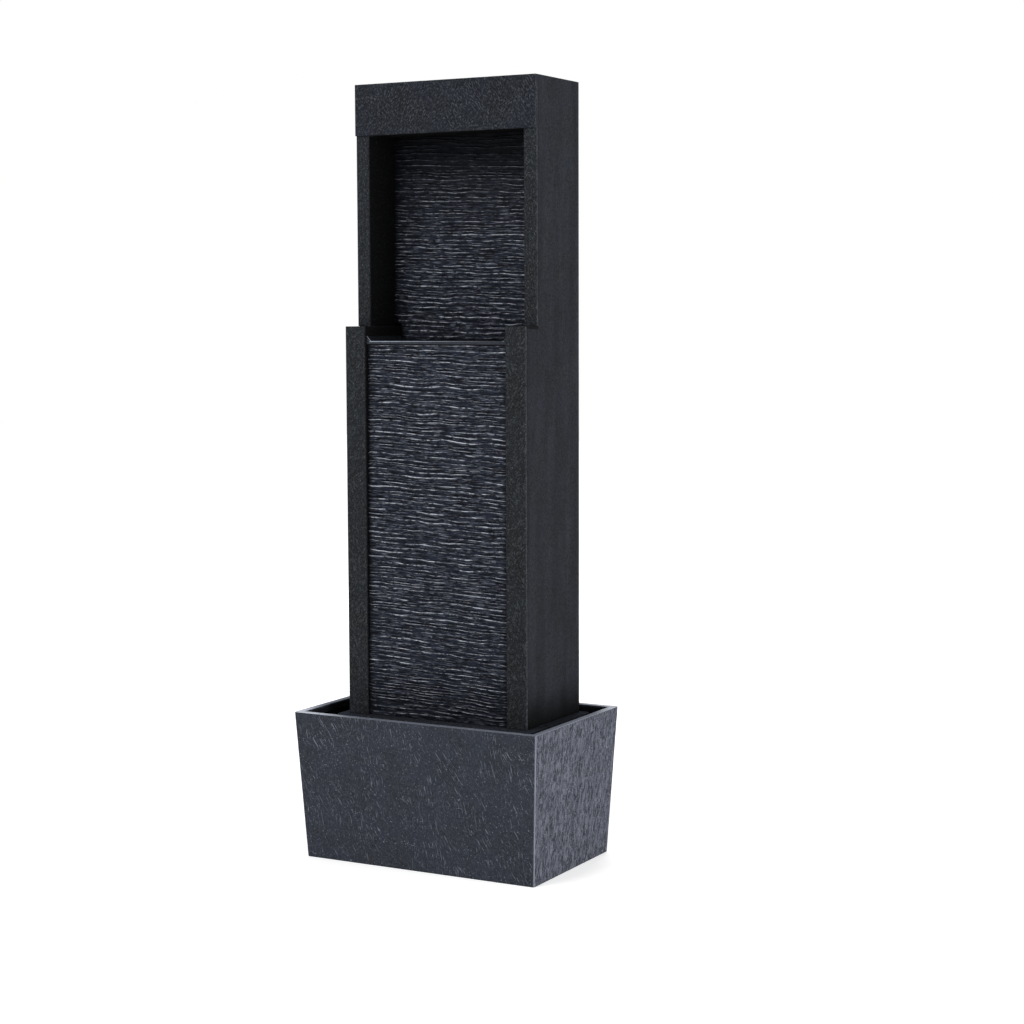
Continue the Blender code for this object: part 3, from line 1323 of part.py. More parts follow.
def make_control_board():
    """The charging and pump-drive board with its main parts."""
    low, high = box_limits()
    right = high[0] - BOX_WALL - SEAT_GAP
    front = low[1] + BOX_WALL + SEAT_GAP
    back = high[1] - BOX_WALL - SEAT_GAP
    bottom = low[2] + BOX_WALL + SEAT_GAP
    board = box(
        "control_board", (right - BOARD_WIDTH, front, bottom), (right, back, bottom + BOARD_THICKNESS)
    )
    top = bottom + BOARD_THICKNESS - FUSE_DEPTH / 2
    middle = Vector((right - BOARD_WIDTH / 2, (front + back) / 2, top))
    chip_half = CHIP_SIZE / 2
    chip = box(
        "driver chip", middle - Vector((chip_half, chip_half, 0.0)),
        middle + Vector((chip_half, chip_half, CHIP_HEIGHT))
    )
    choke_foot = Vector((right - BOARD_WIDTH + 1.2 * CHOKE_RADIUS, back - 1.2 * CHOKE_RADIUS, top))
    choke_top = choke_foot + Vector((0.0, 0.0, CHOKE_HEIGHT))
    choke = rod("choke", choke_foot, choke_top, CHOKE_RADIUS, segments=16)
    can_foot = Vector((right - 1.5 * CAPACITOR_RADIUS, back - 1.5 * CAPACITOR_RADIUS, top))
    can_top = can_foot + Vector((0.0, 0.0, CAPACITOR_HEIGHT))
    can = rod("capacitor", can_foot, can_top, CAPACITOR_RADIUS, segments=16)
    return part(fuse(board, chip, choke, can), BOARD_GREEN)


def make_pump_lead():
    """The pump's lead: over the rock's top, down the back corner and through the hand hole."""
    out = pump_lead_exit() - Vector((BOX_WALL / 2, 0.0, 0.0))
    straight = Vector((LEAD_TURN, 0.0, 0.0))
    corner = lead_middle(0.0)
    gland = gland_place() + Vector((SEAT_GAP, 0.0, 0.0))
    side_x = (NICHE_HALF + RETURN_WALL + CASING_INNER_HALF) / 2
    over_z = ROCK_TOP_Z + LEAD_OVER_ROCK
    low_clip, middle_clip, high_clip = (share * TOTAL_HEIGHT for share in LEAD_CLIP_SHARES)
    in_x = CASING_INNER_HALF - LEAD_IN_FROM_SIDE
    hole_y = HAND_HOLE_BACK_Y - LEAD_TURN
    lead("pump_lead", [
        out, out + straight, (side_x - LEAD_BEND, out.y, over_z - LEAD_TURN / 3),
        (side_x - LEAD_TURN / 2, out.y + 1.5 * LEAD_TURN, over_z),
        (side_x, out.y + 3.3 * LEAD_TURN, over_z - LEAD_BEND / 2),
        (side_x, out.y + 5.3 * LEAD_TURN, over_z - 1.7 * LEAD_BEND),
        (corner.x, corner.y, (over_z + high_clip) / 2 - LEAD_TURN / 2),
        (corner.x, corner.y, high_clip), (corner.x, corner.y, middle_clip), (corner.x, corner.y, low_clip),
        (corner.x - LEAD_TURN, corner.y - LEAD_TURN, PLINTH_TOP_Z + 2.4 * LEAD_BEND),
        (in_x, hole_y, PLINTH_TOP_Z + LEAD_TURN / 2),
        (in_x, hole_y - LEAD_TURN / 2, (PLINTH_TOP_Z + gland.z) / 2),
        (in_x, gland.y, gland.z + LEAD_BEND), gland + 2.7 * straight, gland + straight, gland,
    ], LEAD_RADIUS, RUBBER)


def make_panel_lead():
    """The short lead from the solar panel down to the battery box."""
    top = solar_lead_place()
    under_tray = TRAY_BOTTOM_Z - LEAD_TURN / 3
    above_lid = top.z + BOX_LID + LEAD_TURN / 3
    lead("solar_lead", [
        (top.x, top.y, TRAY_BOTTOM_Z + TRAY_FLOOR), (top.x, top.y, under_tray),
        (top.x, top.y, above_lid), (top.x, top.y, top.z + SEAT_GAP),
    ], THIN_LEAD_RADIUS, RUBBER)


def make_switch_lead():
    """The lead from the button to the battery box."""
    entry = switch_lead_entry() - Vector((BOX_WALL / 2, 0.0, 0.0))
    socket = Vector((BUTTON_X, TOWER_BACK_Y - BARREL_DEPTH, BUTTON_Z))
    middle_y = (socket.y + entry.y) / 2
    lead("switch_lead", [
        socket, socket - Vector((0.0, LEAD_TURN, 0.0)),
        (BUTTON_X - LEAD_TURN / 3, middle_y, BUTTON_Z - LEAD_TURN / 4),
        (BUTTON_X - LEAD_TURN, entry.y + LEAD_TURN / 5, entry.z + LEAD_TURN / 4),
        entry + Vector((LEAD_TURN / 2, 0.0, 0.0)), entry,
    ], THIN_LEAD_RADIUS, RUBBER)


def make_button():
    """The push button, its housing through the back wall and the nut that holds it."""
    face_y = TOWER_BACK_Y + SEAT_GAP
    inner_end = face_y - BARREL_DEPTH
    bezel_y = face_y + BEZEL_THICKNESS
    rim = (BUTTON_X, bezel_y, BUTTON_Z)
    housing = rod("button_housing", (BUTTON_X, inner_end, BUTTON_Z), rim, BARREL_RADIUS)
    flange = rod("button flange", (BUTTON_X, face_y, BUTTON_Z), rim, BEZEL_RADIUS)
    seat_y = bezel_y - BUTTON_TRAVEL - BUTTON_SEAT_DEPTH
    bore = rod(
        "button bore", (BUTTON_X, seat_y, BUTTON_Z), (BUTTON_X, bezel_y + OVERSHOOT, BUTTON_Z),
        BUTTON_RADIUS + BORE_GAP
    )
    part(cut(fuse(housing, flange), bore), INNER_PLASTIC)
    cap_back = seat_y + BUTTON_TRAVEL + SEAT_GAP
    cap_front = (BUTTON_X, bezel_y + BUTTON_PROUD, BUTTON_Z)
    cap = rod("power_button", (BUTTON_X, cap_back, BUTTON_Z), cap_front, BUTTON_RADIUS)
    round_edges(
        cap, CAP_EDGE_RADIUS, 2,
        lambda first, second: abs(first.z - second.z) < FUSE_DEPTH and first.z > 0
    )
    part(cap, BUTTON_GREY)
    nut_front = CASING_INNER_Y - SEAT_GAP
    nut = rod(
        "button_nut", (BUTTON_X, nut_front - BUTTON_NUT, BUTTON_Z), (BUTTON_X, nut_front, BUTTON_Z),
        BARREL_RADIUS + BUTTON_NUT_WALL, segments=6
    )
    hole = rod(
        "nut hole", (BUTTON_X, nut_front - BUTTON_NUT - OVERSHOOT, BUTTON_Z),
        (BUTTON_X, nut_front + OVERSHOOT, BUTTON_Z), BARREL_RADIUS + BORE_GAP
    )
    part(cut(nut, hole), STEEL)


def strap_outline(segments=16):
    """A hinge knuckle with the strap that runs from it onto the door plate, seen from above."""
    radius = KNUCKLE_RADIUS
    arc = [math.radians(270) * index / segments for index in range(segments + 1)]
    plate_x = -DOOR_HALF_X + FUSE_DEPTH - HINGE_X
    in_plate = -radius - DOOR_GAP - FUSE_DEPTH
    return [(radius * math.cos(a), radius * math.sin(a)) for a in arc] + [
        (plate_x, -radius), (plate_x, in_plate), (STRAP_LENGTH, in_plate), (STRAP_LENGTH, 0.0),
    ]


def make_door():
    """The access door, its hinge knuckles and the bore of its latch."""
    axis = bpy.data.objects.new("door axis", None)
    PARTS.objects.link(axis)
    axis.location = (HINGE_X, HINGE_Y, LATCH_Z)
    to_axis = Vector(axis.location)
    door = box(
        "access_door", Vector((-DOOR_HALF_X, CASING_INNER_Y, DOOR_BOTTOM_Z)) - to_axis,
        Vector((DOOR_HALF_X, TOWER_BACK_Y, DOOR_TOP_Z)) - to_axis
    )
    pieces = [door]
    for number, level in enumerate(hinge_levels(), start=1):
        strap = flat_piece(f"strap {number}", strap_outline(), KNUCKLE_HEIGHT)
        strap.location = (0.0, 0.0, level - LATCH_Z)
        bore = hinge_bore(f"knuckle bore {number}", level)
        bore.location = Vector(bore.location) - to_axis
        fuse(door, strap)
        cut(door, bore)
        pieces += [strap, bore]
    latch_bore = rod(
        "latch bore", Vector((LATCH_X, CASING_INNER_Y - OVERSHOOT, LATCH_Z)) - to_axis,
        Vector((LATCH_X, TOWER_BACK_Y + OVERSHOOT, LATCH_Z)) - to_axis, LATCH_SHAFT_RADIUS + BORE_GAP
    )
    cut(door, latch_bore)
    for piece in pieces + [latch_bore]:
        piece.parent = axis
    part(door, TOWER_SLATE)


def make_hinge_pins():
    """The steel pins through the lugs and knuckles."""
    reach = KNUCKLE_HEIGHT / 2 + KNUCKLE_GAP + LUG_HEIGHT
    for name, level in zip(("hinge_pin_lower", "hinge_pin_upper"), hinge_levels()):
        foot, head = (HINGE_X, HINGE_Y, level - reach), (HINGE_X, HINGE_Y, level + reach)
        part(rod(name, foot, head, HINGE_PIN_RADIUS, segments=16), STEEL)


def make_latch():
    """The quarter-turn latch: a knob outside with its shaft, and a cam inside."""
    axis = bpy.data.objects.new("latch axis", None)
    PARTS.objects.link(axis)
    axis.location = (LATCH_X, TOWER_BACK_Y, LATCH_Z)
    disc_face = SEAT_GAP + LATCH_KNOB_HEIGHT
    grip_reach = LATCH_KNOB_RADIUS - GRIP_INSET
    knob = rod("latch_knob", (0, SEAT_GAP, 0), (0, disc_face, 0), LATCH_KNOB_RADIUS)
    grip = box(
        "latch grip", (-LATCH_GRIP_WIDTH / 2, disc_face - FUSE_DEPTH, -grip_reach),
        (LATCH_GRIP_WIDTH / 2, disc_face + LATCH_GRIP_HEIGHT, grip_reach)
    )
    cam_front = -CASING_WALL - SEAT_GAP - DOOR_LIP - 2 * SEAT_GAP
    cam_back = cam_front - CAM_THICKNESS
    shaft = rod("latch shaft", (0, cam_back, 0), (0, SEAT_GAP + FUSE_DEPTH, 0), LATCH_SHAFT_RADIUS)
    cam_half = CAM_WIDTH / 2
    cam = box("latch_cam", (-cam_half, cam_back, -cam_half), (cam_half, cam_front, CAM_LENGTH))
    round_edges(cam, CAM_CORNER_RADIUS, 2, along_shaft)
    hole_start, hole_end = (0, cam_back - OVERSHOOT, 0), (0, cam_front + OVERSHOOT, 0)
    hole = rod("cam hole", hole_start, hole_end, LATCH_SHAFT_RADIUS + BORE_GAP)
    for piece in (knob, grip, shaft, cam, hole):
        piece.parent = axis
    part(fuse(knob, grip, shaft), INNER_PLASTIC)
    part(cut(cam, hole), STEEL)


make_basin()
make_plinth()
make_casing()
make_upper_frame()
make_header_fascia()
make_lower_frame()
make_upper_rock()
make_lower_rock()
make_spill_ledge()
make_trough()
make_hose()
make_hose_clamp("hose_clamp_pump", OUTLET_Z + CLAMP_FROM_ROOT)
make_hose_clamp("hose_clamp_trough", TROUGH_FLOOR_Z - CLAMP_FROM_ROOT)
make_hose_clips()
make_pump_body()
make_pump_cover()
make_shaft()
make_impeller()
make_strainer()
make_flow_dial()
make_pump_feet()
make_top_cover()
make_solar_panel()
make_battery_box()
make_battery_cells()
make_control_board()
make_lead_clips()
make_pump_lead()
make_panel_lead()
make_switch_lead()
make_button()
make_door()
make_hinge_pins()
make_latch()
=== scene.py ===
# %% [markdown]
# # A solar tower fountain, dressed
#
# The real object is a tower of thin, textured resin panels that stands in a tapered basin. Water
# rises through a hose inside the tower, slides over a split-slate face under the header, crosses
# a shelf and falls over a second, lower face into the basin. A solar panel lies in the tower's top.
#
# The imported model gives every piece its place. This script keeps those places and gives the
# pieces their surfaces: worn edges, hammered slate, split rock, solar cells, glass and plastics.

# %% Load the frame
import json
import math
import random

import bmesh
import bpy
from mathutils import Matrix, Vector
from mathutils import noise as noise_3d


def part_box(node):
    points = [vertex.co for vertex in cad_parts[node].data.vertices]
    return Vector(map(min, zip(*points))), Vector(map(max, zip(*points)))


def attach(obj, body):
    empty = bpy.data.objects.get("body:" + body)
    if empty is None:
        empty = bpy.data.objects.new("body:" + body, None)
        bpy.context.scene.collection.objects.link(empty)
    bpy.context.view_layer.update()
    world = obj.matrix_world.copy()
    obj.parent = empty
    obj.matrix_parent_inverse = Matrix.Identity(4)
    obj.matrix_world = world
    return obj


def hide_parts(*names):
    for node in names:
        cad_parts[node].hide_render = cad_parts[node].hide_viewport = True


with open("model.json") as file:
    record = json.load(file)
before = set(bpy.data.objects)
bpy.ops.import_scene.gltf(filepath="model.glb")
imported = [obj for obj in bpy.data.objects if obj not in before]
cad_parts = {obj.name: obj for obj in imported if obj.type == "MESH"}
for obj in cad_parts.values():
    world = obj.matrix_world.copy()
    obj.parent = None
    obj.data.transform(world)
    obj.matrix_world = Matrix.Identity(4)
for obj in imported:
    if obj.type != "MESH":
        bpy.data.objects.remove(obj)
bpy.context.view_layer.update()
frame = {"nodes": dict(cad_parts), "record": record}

MM = 0.001


def add_object(name, data):
    """A new object in the scene."""
    made = bpy.data.objects.new(name, data)
    bpy.context.scene.collection.objects.link(made)
    return made


print("pieces in the frame:", len(frame["nodes"]))

# %% [markdown]
# ## The camera
#
# The fountain was photographed with a long lens from its right, a little above its middle. The
# camera's angle, distance and lens come from fitting a camera to the object's own corners.
# A small roll is kept, because without it the tower's edges would lean away from the photograph's.

# %% Camera
VIEW_TURN = math.radians(28.664)
VIEW_PITCH = math.radians(5.2505)
VIEW_ROLL = math.radians(-0.2129)
VIEW_DISTANCE = 2.6886
VIEW_ASIDE = 0.070
VIEW_HEIGHT = 0.4345
LENS = 75.72
SENSOR_WIDTH = 36.0


def make_camera():
    """A camera on the photograph's line of sight: raised, turned, moved aside, tilted up to look
    level, drawn back and rolled."""
    camera = add_object("camera", bpy.data.cameras.new("camera"))
    camera.data.lens = LENS
    camera.data.sensor_width = SENSOR_WIDTH
    camera.matrix_world = (
        Matrix.Translation((0.0, 0.0, VIEW_HEIGHT)) @ Matrix.Rotation(VIEW_TURN, 4, "Z")
        @ Matrix.Translation((VIEW_ASIDE, 0.0, 0.0)) @ Matrix.Rotation(math.pi / 2 - VIEW_PITCH, 4, "X")
        @ Matrix.Translation((0.0, 0.0, VIEW_DISTANCE)) @ Matrix.Rotation(VIEW_ROLL, 4, "Z")
    )
    bpy.context.scene.camera = camera
    return camera


print("camera at", [round(value, 3) for value in make_camera().matrix_world.translation])

# %% [markdown]
# ## Building node trees in a script
#
# Materials and Geometry Nodes are both graphs, so one small helper can serve both: it adds a
# node, sets its options, and either links or sets each of its inputs. Naming inputs instead of
# counting them keeps the trees readable and safe when a node has sockets that are hidden.

# %% Node helpers


def add_node(tree, kind, inputs=None, **options):
    """A node with its options set and its inputs set or linked."""
    made = tree.nodes.new(kind)
    for name, value in options.items():
        setattr(made, name, value)
    for name, value in (inputs or {}).items():
        if isinstance(value, bpy.types.NodeSocket):
            tree.links.new(value, made.inputs[name])
        else:
            made.inputs[name].default_value = value
    return made


def calc(tree, operation, *values, clamp=False):
    """One step of arithmetic."""
    made = add_node(tree, "ShaderNodeMath", dict(enumerate(values)), operation=operation)
    made.use_clamp = clamp
    return made.outputs[0]


def times(tree, value, *factors):
    """A value multiplied by each factor in turn."""
    for factor in factors:
        value = calc(tree, "MULTIPLY", value, factor)
    return value


def centred(tree, value):
    """A value from 0 to 1 as one from -0.5 to 0.5."""
    return calc(tree, "SUBTRACT", value, 0.5)


def spread(tree, value, low, high, out_low=0.0, out_high=1.0, smooth=True):
    """Stretch a part of a value's range over a new range, and hold it at the ends."""
    made = add_node(tree, "ShaderNodeMapRange", {
        "Value": value, "From Min": low, "From Max": high, "To Min": out_low, "To Max": out_high,
    }, interpolation_type="SMOOTHSTEP" if smooth else "LINEAR")
    return made.outputs["Result"]


def noise(tree, vector, scale, detail=2.0, roughness=0.5, distortion=0.0):
    """Soft random lumps, from 0 to 1, about one over scale across."""
    made = add_node(tree, "ShaderNodeTexNoise", {
        "Vector": vector, "Scale": scale, "Detail": detail, "Roughness": roughness, "Distortion": distortion,
    })
    return made.outputs[0]


def parts_of(tree, vector):
    """The three numbers of a vector, by their letters."""
    return add_node(tree, "ShaderNodeSeparateXYZ", {0: vector}).outputs


def stretched(tree, vector, factor):
    """A vector, or a colour, with all its numbers multiplied."""
    return add_node(tree, "ShaderNodeVectorMath", {0: vector, "Scale": factor}, operation="SCALE").outputs[0]


def moved_by(tree, vector, shift):
    """A vector moved by a number or by another vector."""
    return add_node(tree, "ShaderNodeVectorMath", {0: vector, 1: shift}, operation="ADD").outputs[0]


def finish(name, roughness=0.5, specular=0.5, metallic=0.0):
    """A new material, with its tree and shader."""
    made = bpy.data.materials.new(name)
    made.use_nodes = True
    shader = made.node_tree.nodes["Principled BSDF"]
    shader.inputs["Roughness"].default_value = roughness
    shader.inputs["Specular IOR Level"].default_value = specular
    shader.inputs["Metallic"].default_value = metallic
    return made, made.node_tree, shader


def paint(tree, shader, tone):
    """Give a shader its colour."""
    tree.links.new(tone, shader.inputs["Base Color"])


def object_place(tree):
    """A point's place on the piece, in metres."""
    return add_node(tree, "ShaderNodeTexCoord").outputs["Object"]


# %% [markdown]
# ## Light, floor and background
#
# The photograph is a cut-out on white, lit by large soft lamps. A white world at less than half
# strength fills the shadows. One wide lamp stands in front, high enough for the header to shade the
# top of the rock, and a second stands low at the right, since the basin's right end is its lightest
# face. A third lights the back. Rays that only show the background see pure white: the floor glows
# for them, more so far away where the lamps don't reach, and still takes the shadow.

# %% Stage
WORLD_FILL = 0.42
WHITE = (1.0, 1.0, 1.0, 1.0)
FLOOR_WHITE = (0.88, 0.88, 0.88, 1.0)
FLOOR_HALF = 8.0
FLOOR_CORNERS = ((-1, -1), (1, -1), (1, 1), (-1, 1))
GLOW_SPAN = (0.6, 2.6)
FLOOR_GLOW = (0.42, 0.75)
# Place, aim, side in metres and power in watts
LAMPS = {
    "front lamp": ((-0.9, -2.3, 2.3), (0.0, 0.0, 0.5), 1.4, 44.0),
    "right lamp": ((2.4, -0.3, 0.7), (0.0, 0.0, 0.3), 1.0, 38.0),
    "back lamp": ((-0.8, 2.4, 2.1), (0.0, 0.0, 0.5), 1.4, 40.0),
}


def seen_rays(tree):
    """1 for rays that show the background, straight or through gloss and glass."""
    path = add_node(tree, "ShaderNodeLightPath")
    either = calc(tree, "MAXIMUM", path.outputs["Is Camera Ray"], path.outputs["Is Glossy Ray"])
    return calc(tree, "MAXIMUM", either, path.outputs["Is Transmission Ray"])


def make_world():
    """White where it is seen, and a soft fill where it lights."""
    world = bpy.data.worlds.new("studio")
    world.use_nodes = True
    tree = world.node_tree
    tree.nodes.clear()
    strength = spread(tree, seen_rays(tree), 0.0, 1.0, WORLD_FILL, 1.0, smooth=False)
    sky = add_node(tree, "ShaderNodeBackground", {"Color": WHITE, "Strength": strength})
    add_node(tree, "ShaderNodeOutputWorld", {"Surface": sky.outputs[0]})
    bpy.context.scene.world = world


def make_floor_paint():
    """White paint with a glow that only background rays see."""
    made, tree, shader = finish("white floor", 0.9, specular=0.0)
    shader.inputs["Base Color"].default_value = FLOOR_WHITE
    shader.inputs["Emission Color"].default_value = WHITE
    away = add_node(tree, "ShaderNodeVectorMath", {0: object_place(tree)}, operation="LENGTH")
    glow = spread(tree, away.outputs["Value"], *GLOW_SPAN, *FLOOR_GLOW)
    tree.links.new(times(tree, seen_rays(tree), glow), shader.inputs["Emission Strength"])
    return made


def make_floor():
    """A plain floor that keeps the shadow."""
    mesh = bpy.data.meshes.new("floor")
    corners = [(FLOOR_HALF * x, FLOOR_HALF * y, 0.0) for x, y in FLOOR_CORNERS]
    mesh.from_pydata(corners, [], [(0, 1, 2, 3)])
    mesh.materials.append(make_floor_paint())
    add_object("floor", mesh)


def make_lamp(name, place, aim, size, power):
    """A square soft lamp that faces a point."""
    lamp = add_object(name, bpy.data.lights.new(name, "AREA"))
    lamp.data.size = size
    lamp.data.energy = power
    lamp.location = place
    lamp.rotation_euler = (Vector(place) - Vector(aim)).to_track_quat("Z", "Y").to_euler()


make_world()
make_floor()
for name, numbers in LAMPS.items():
    make_lamp(name, *numbers)
bpy.context.scene.view_settings.view_transform = "Standard"
print("stage ready, fill", WORLD_FILL, "lamps", len(LAMPS))

# %% [markdown]
# ## Finishes that read the object's own space
#
# Every pattern here is solid: it is worked out from a point's place in the object, as grain is in
# a block of stone, so it wraps round corners with no seam. A pattern with a direction is noise that
# is drawn out along one line in space; on two faces that meet at a corner it then runs two ways,
# just as the basin's scratches do.

# %% Pattern helpers


def lumps(tree, scale, detail=2.0, roughness=0.5):
    """Noise at a point's own place."""
    return noise(tree, object_place(tree), scale, detail, roughness)


def drawn(tree, direction, size, detail=2.0, roughness=0.5, bend=0.0):
    """Noise that is drawn out along a direction. size is the length and width of its lumps."""
    turn = Vector(direction).to_track_quat("X", "Z").to_euler()
    place = add_node(tree, "ShaderNodeMapping", {
        "Vector": object_place(tree), "Rotation": turn, "Scale": (size[0], size[1], size[1]),
    }, vector_type="TEXTURE")
    return noise(tree, place.outputs["Vector"], 1.0, detail, roughness, bend)


def streaks(tree, direction, size, band, bend, detail=2.0):
    """Thin marks that run along a direction, from 0 where the noise is under a band to 1 over it."""
    return spread(tree, drawn(tree, direction, size, detail, 0.5, bend), *band)


def blend(tree, share, first, second):
    """One colour or the other, by a share from 0 to 1."""
    first, second = ((*value, 1.0) if isinstance(value, tuple) else value for value in (first, second))
    return add_node(tree, "ShaderNodeMix", {0: share, 6: first, 7: second}, data_type="RGBA").outputs[2]


def mix_by(tree, share, first, second):
    """The first number where share is 0, the second where it is 1."""
    return add_node(tree, "ShaderNodeMix", {0: share, 2: first, 3: second}).outputs[0]


def scaled(colour, factor):
    """A colour made darker or lighter."""
    return tuple(min(1.0, value * factor) for value in colour)


def attribute(tree, name):
    """A number that the piece's own points carry, such as how worn an edge is."""
    return add_node(tree, "ShaderNodeAttribute", attribute_name=name).outputs["Fac"]


def wear_and_sheen_edge(tree):
    """1 in the middle of a worn edge and on the painted sheen of rim and lip, and 0 from halfway to the
    faces beside it.
    """
    return spread(tree, attribute(tree, "wear_and_sheen"), 0.5, 1.0)


def raise_surface(tree, shader, height, depth):
    """Bump from a height of 0 to 1 and its real depth in metres."""
    bump = add_node(tree, "ShaderNodeBump", {"Strength": 1.0, "Distance": depth, "Height": height})
    tree.links.new(bump.outputs["Normal"], shader.inputs["Normal"])


print("pattern helpers ready")

# %% [markdown]
# ## Cast slate
#
# The basin and the tower are cast resin, pressed in moulds cut to look like riven slate and then
# rubbed with a paler pigment. Seen closely the skin is like fine leather: a stipple of one or two
# millimetres, short folds that lean one way and then another in patches, a few long scratches and
# pale specks. The pigment catches on the corners, so the edges read as thin, broken light lines.
#
# Folds and scratches are the tops of drawn-out noise, the scratches far longer and thinner. They
# run in the plane of the face: noise drawn out across a face would only show there as dots.

# %% Marks in the slate
# Lumps per metre of each noise
STIPPLE_SCALE = 560.0
SPECK_SCALE = 480.0
PATCH_SCALES = {"rub": 70.0, "fold": 60.0, "lean": 30.0, "cloud": 24.0, "scratch": 20.0}
# Length and width, the noise where a mark begins and where it is full, bend and detail
FOLD = ((4.0 * MM, 1.6 * MM), (0.53, 0.61), 0.3)
SCRATCH = ((44.0 * MM, 0.9 * MM), (0.675, 0.705), 0.45, 0.6)


def patches(tree, kind, low, high, out_low=0.0, out_high=1.0, detail=1.0, roughness=0.5):
    """A slow noise that says where a kind of mark is strong."""
    return spread(tree, lumps(tree, PATCH_SCALES[kind], detail, roughness), low, high, out_low, out_high)


def crossed(tree, leans, turned, numbers):
    """Marks that lean one way where turned is 0, and the other way where it is 1."""
    first, second = (streaks(tree, lean, *numbers) for lean in leans)
    return mix_by(tree, turned, first, second)


def slate_marks(tree, leans, speck, crease, scratch, fleck):
    """Folds, long scratches and specks, each in its share, from 0 to 1."""
    turned = patches(tree, "lean", 0.47, 0.53)
    folds = times(tree, crossed(tree, leans, turned, FOLD), patches(tree, "fold", 0.36, 0.58, 0.55), crease)
    strong = patches(tree, "scratch", 0.40, 0.52)
    scratches = times(tree, crossed(tree, leans, turned, SCRATCH), strong, scratch)
    mark = calc(tree, "ADD", folds, times(tree, speck, fleck))
    return calc(tree, "ADD", mark, scratches, clamp=True)


print("marks ready: folds, scratches and specks")

# %% [markdown]
# One function makes the finish, and the basin, posts and casing differ only in its numbers. One
# number on a piece's points is 1 on its rounded edges, where the pale rub wears, and also on the
# basin's rim top and the ledge's lip, where it is painted sheen and a painted highlight. Another is 1
# where shade is painted, which is dark but for a few specks. The casing's plain sides have tall soft
# smears and upright fibres instead of folds, and the slate in the shade below the rim has no gloss at all.

# %% Slate material
SLATE_ROUGHNESS = 0.80
SLATE_GLOSS = 0.06
SPECK_BAND = 0.10
CLOUD_SHARE = 0.25
CLOUD_TINT = (1.0, 1.12, 1.45)
SHADE_TONE = 0.30
SHADE_SPECKS = 0.14
SMEAR_SIZE = (190.0 * MM, 26.0 * MM)
FIBRE_SIZE = (40.0 * MM, 1.6 * MM)


def make_slate(
    name, deep, pale, leans, crease, scratch, fleck, edge, relief,
    speck_from=0.66, even_rub=0.3, pale_factor=4.0, gloss=SLATE_GLOSS
):
    """Cast slate. The leans are two directions in the face; crease, scratch, fleck and edge are shares."""
    made, tree, shader = finish(name, SLATE_ROUGHNESS, gloss)
    light = scaled(pale, pale_factor)
    stipple = lumps(tree, STIPPLE_SCALE, 2.0, 0.6)
    speck = spread(tree, lumps(tree, SPECK_SCALE, 1.0), speck_from, speck_from + SPECK_BAND)
    tone = blend(tree, spread(tree, stipple, 0.34, 0.66), deep, pale)
    cloud = patches(tree, "cloud", 0.32, 0.68, 0.0, CLOUD_SHARE, 3.0, 0.6)
    tone = blend(tree, cloud, tone, tuple(value * tint for value, tint in zip(pale, CLOUD_TINT)))
    mark = slate_marks(tree, leans, speck, crease, scratch, fleck)
    tone = blend(tree, mark, tone, light)
    broken = patches(tree, "rub", 0.40, 0.62, even_rub, 1.0, 2.0, 0.6)
    # Rub on worn edges; on the basin's rim top and the ledge's lip the same mark is painted sheen and a
    # painted highlight.
    rub = times(tree, wear_and_sheen_edge(tree), spread(tree, stipple, 0.3, 0.6, 0.5), broken)
    tone = blend(tree, calc(tree, "MULTIPLY", rub, edge, clamp=True), tone, light)
    # Painted shade: where the piece's points mark shade, the colour turns a much darker deep tone with a few
    # specks.
    shade_paint = blend(tree, times(tree, speck, SHADE_SPECKS), scaled(deep, SHADE_TONE), light)
    paint(tree, shader, blend(tree, attribute(tree, "painted_shade"), tone, shade_paint))
    raise_surface(tree, shader, mix_by(tree, 0.5, stipple, mark), relief)
    return made, tree, shader


def add_grain(tree, shader):
    """Darken and lighten a finish in tall soft smears and fine upright fibres."""
    tone = shader.inputs["Base Color"].links[0].from_socket
    smear = spread(tree, drawn(tree, (0.0, 0.04, 1.0), SMEAR_SIZE, 2.0, 0.5, 0.4), 0.30, 0.70, 0.78, 1.14)
    fibre = spread(tree, drawn(tree, (0.0, 0.02, 1.0), FIBRE_SIZE, 2.0, 0.6), 0.3, 0.7, 0.92, 1.06)
    paint(tree, shader, stretched(tree, tone, times(tree, smear, fibre)))


RISING, FALLING = (0.60, 0.0, 0.80), (0.52, 0.0, -0.85)
TOWER_SLATE, _, _ = make_slate(
    "tower slate", (0.0080, 0.0090, 0.0108), (0.0218, 0.0242, 0.0290), (RISING, FALLING),
    crease=0.56, scratch=0.06, fleck=0.50, edge=0.25, relief=0.45 * MM
)
POST_SLATE, _, _ = make_slate(
    "post slate", (0.0076, 0.0083, 0.0091), (0.0233, 0.0254, 0.0276), (RISING, FALLING),
    crease=0.30, scratch=0.05, fleck=0.60, edge=0.20, relief=0.40 * MM, speck_from=0.62
)
CASING_SLATE, CASING_TREE, CASING_SHADER = make_slate(
    "casing slate", (0.0085, 0.0095, 0.0110), (0.0220, 0.0235, 0.0280), ((0.0, 0.1, 1.0), (0.0, -0.1, 1.0)),
    crease=0.06, scratch=0.03, fleck=0.06, edge=0.16, relief=0.30 * MM
)
add_grain(CASING_TREE, CASING_SHADER)
SUNK_SLATE, _, _ = make_slate(
    "sunk slate", (0.009, 0.010, 0.012), (0.030, 0.033, 0.039), (RISING, FALLING),
    crease=0.10, scratch=0.05, fleck=0.60, edge=0.20, relief=0.35 * MM, gloss=0.0
)
print("slates:", TOWER_SLATE.name, POST_SLATE.name, CASING_SLATE.name, SUNK_SLATE.name)
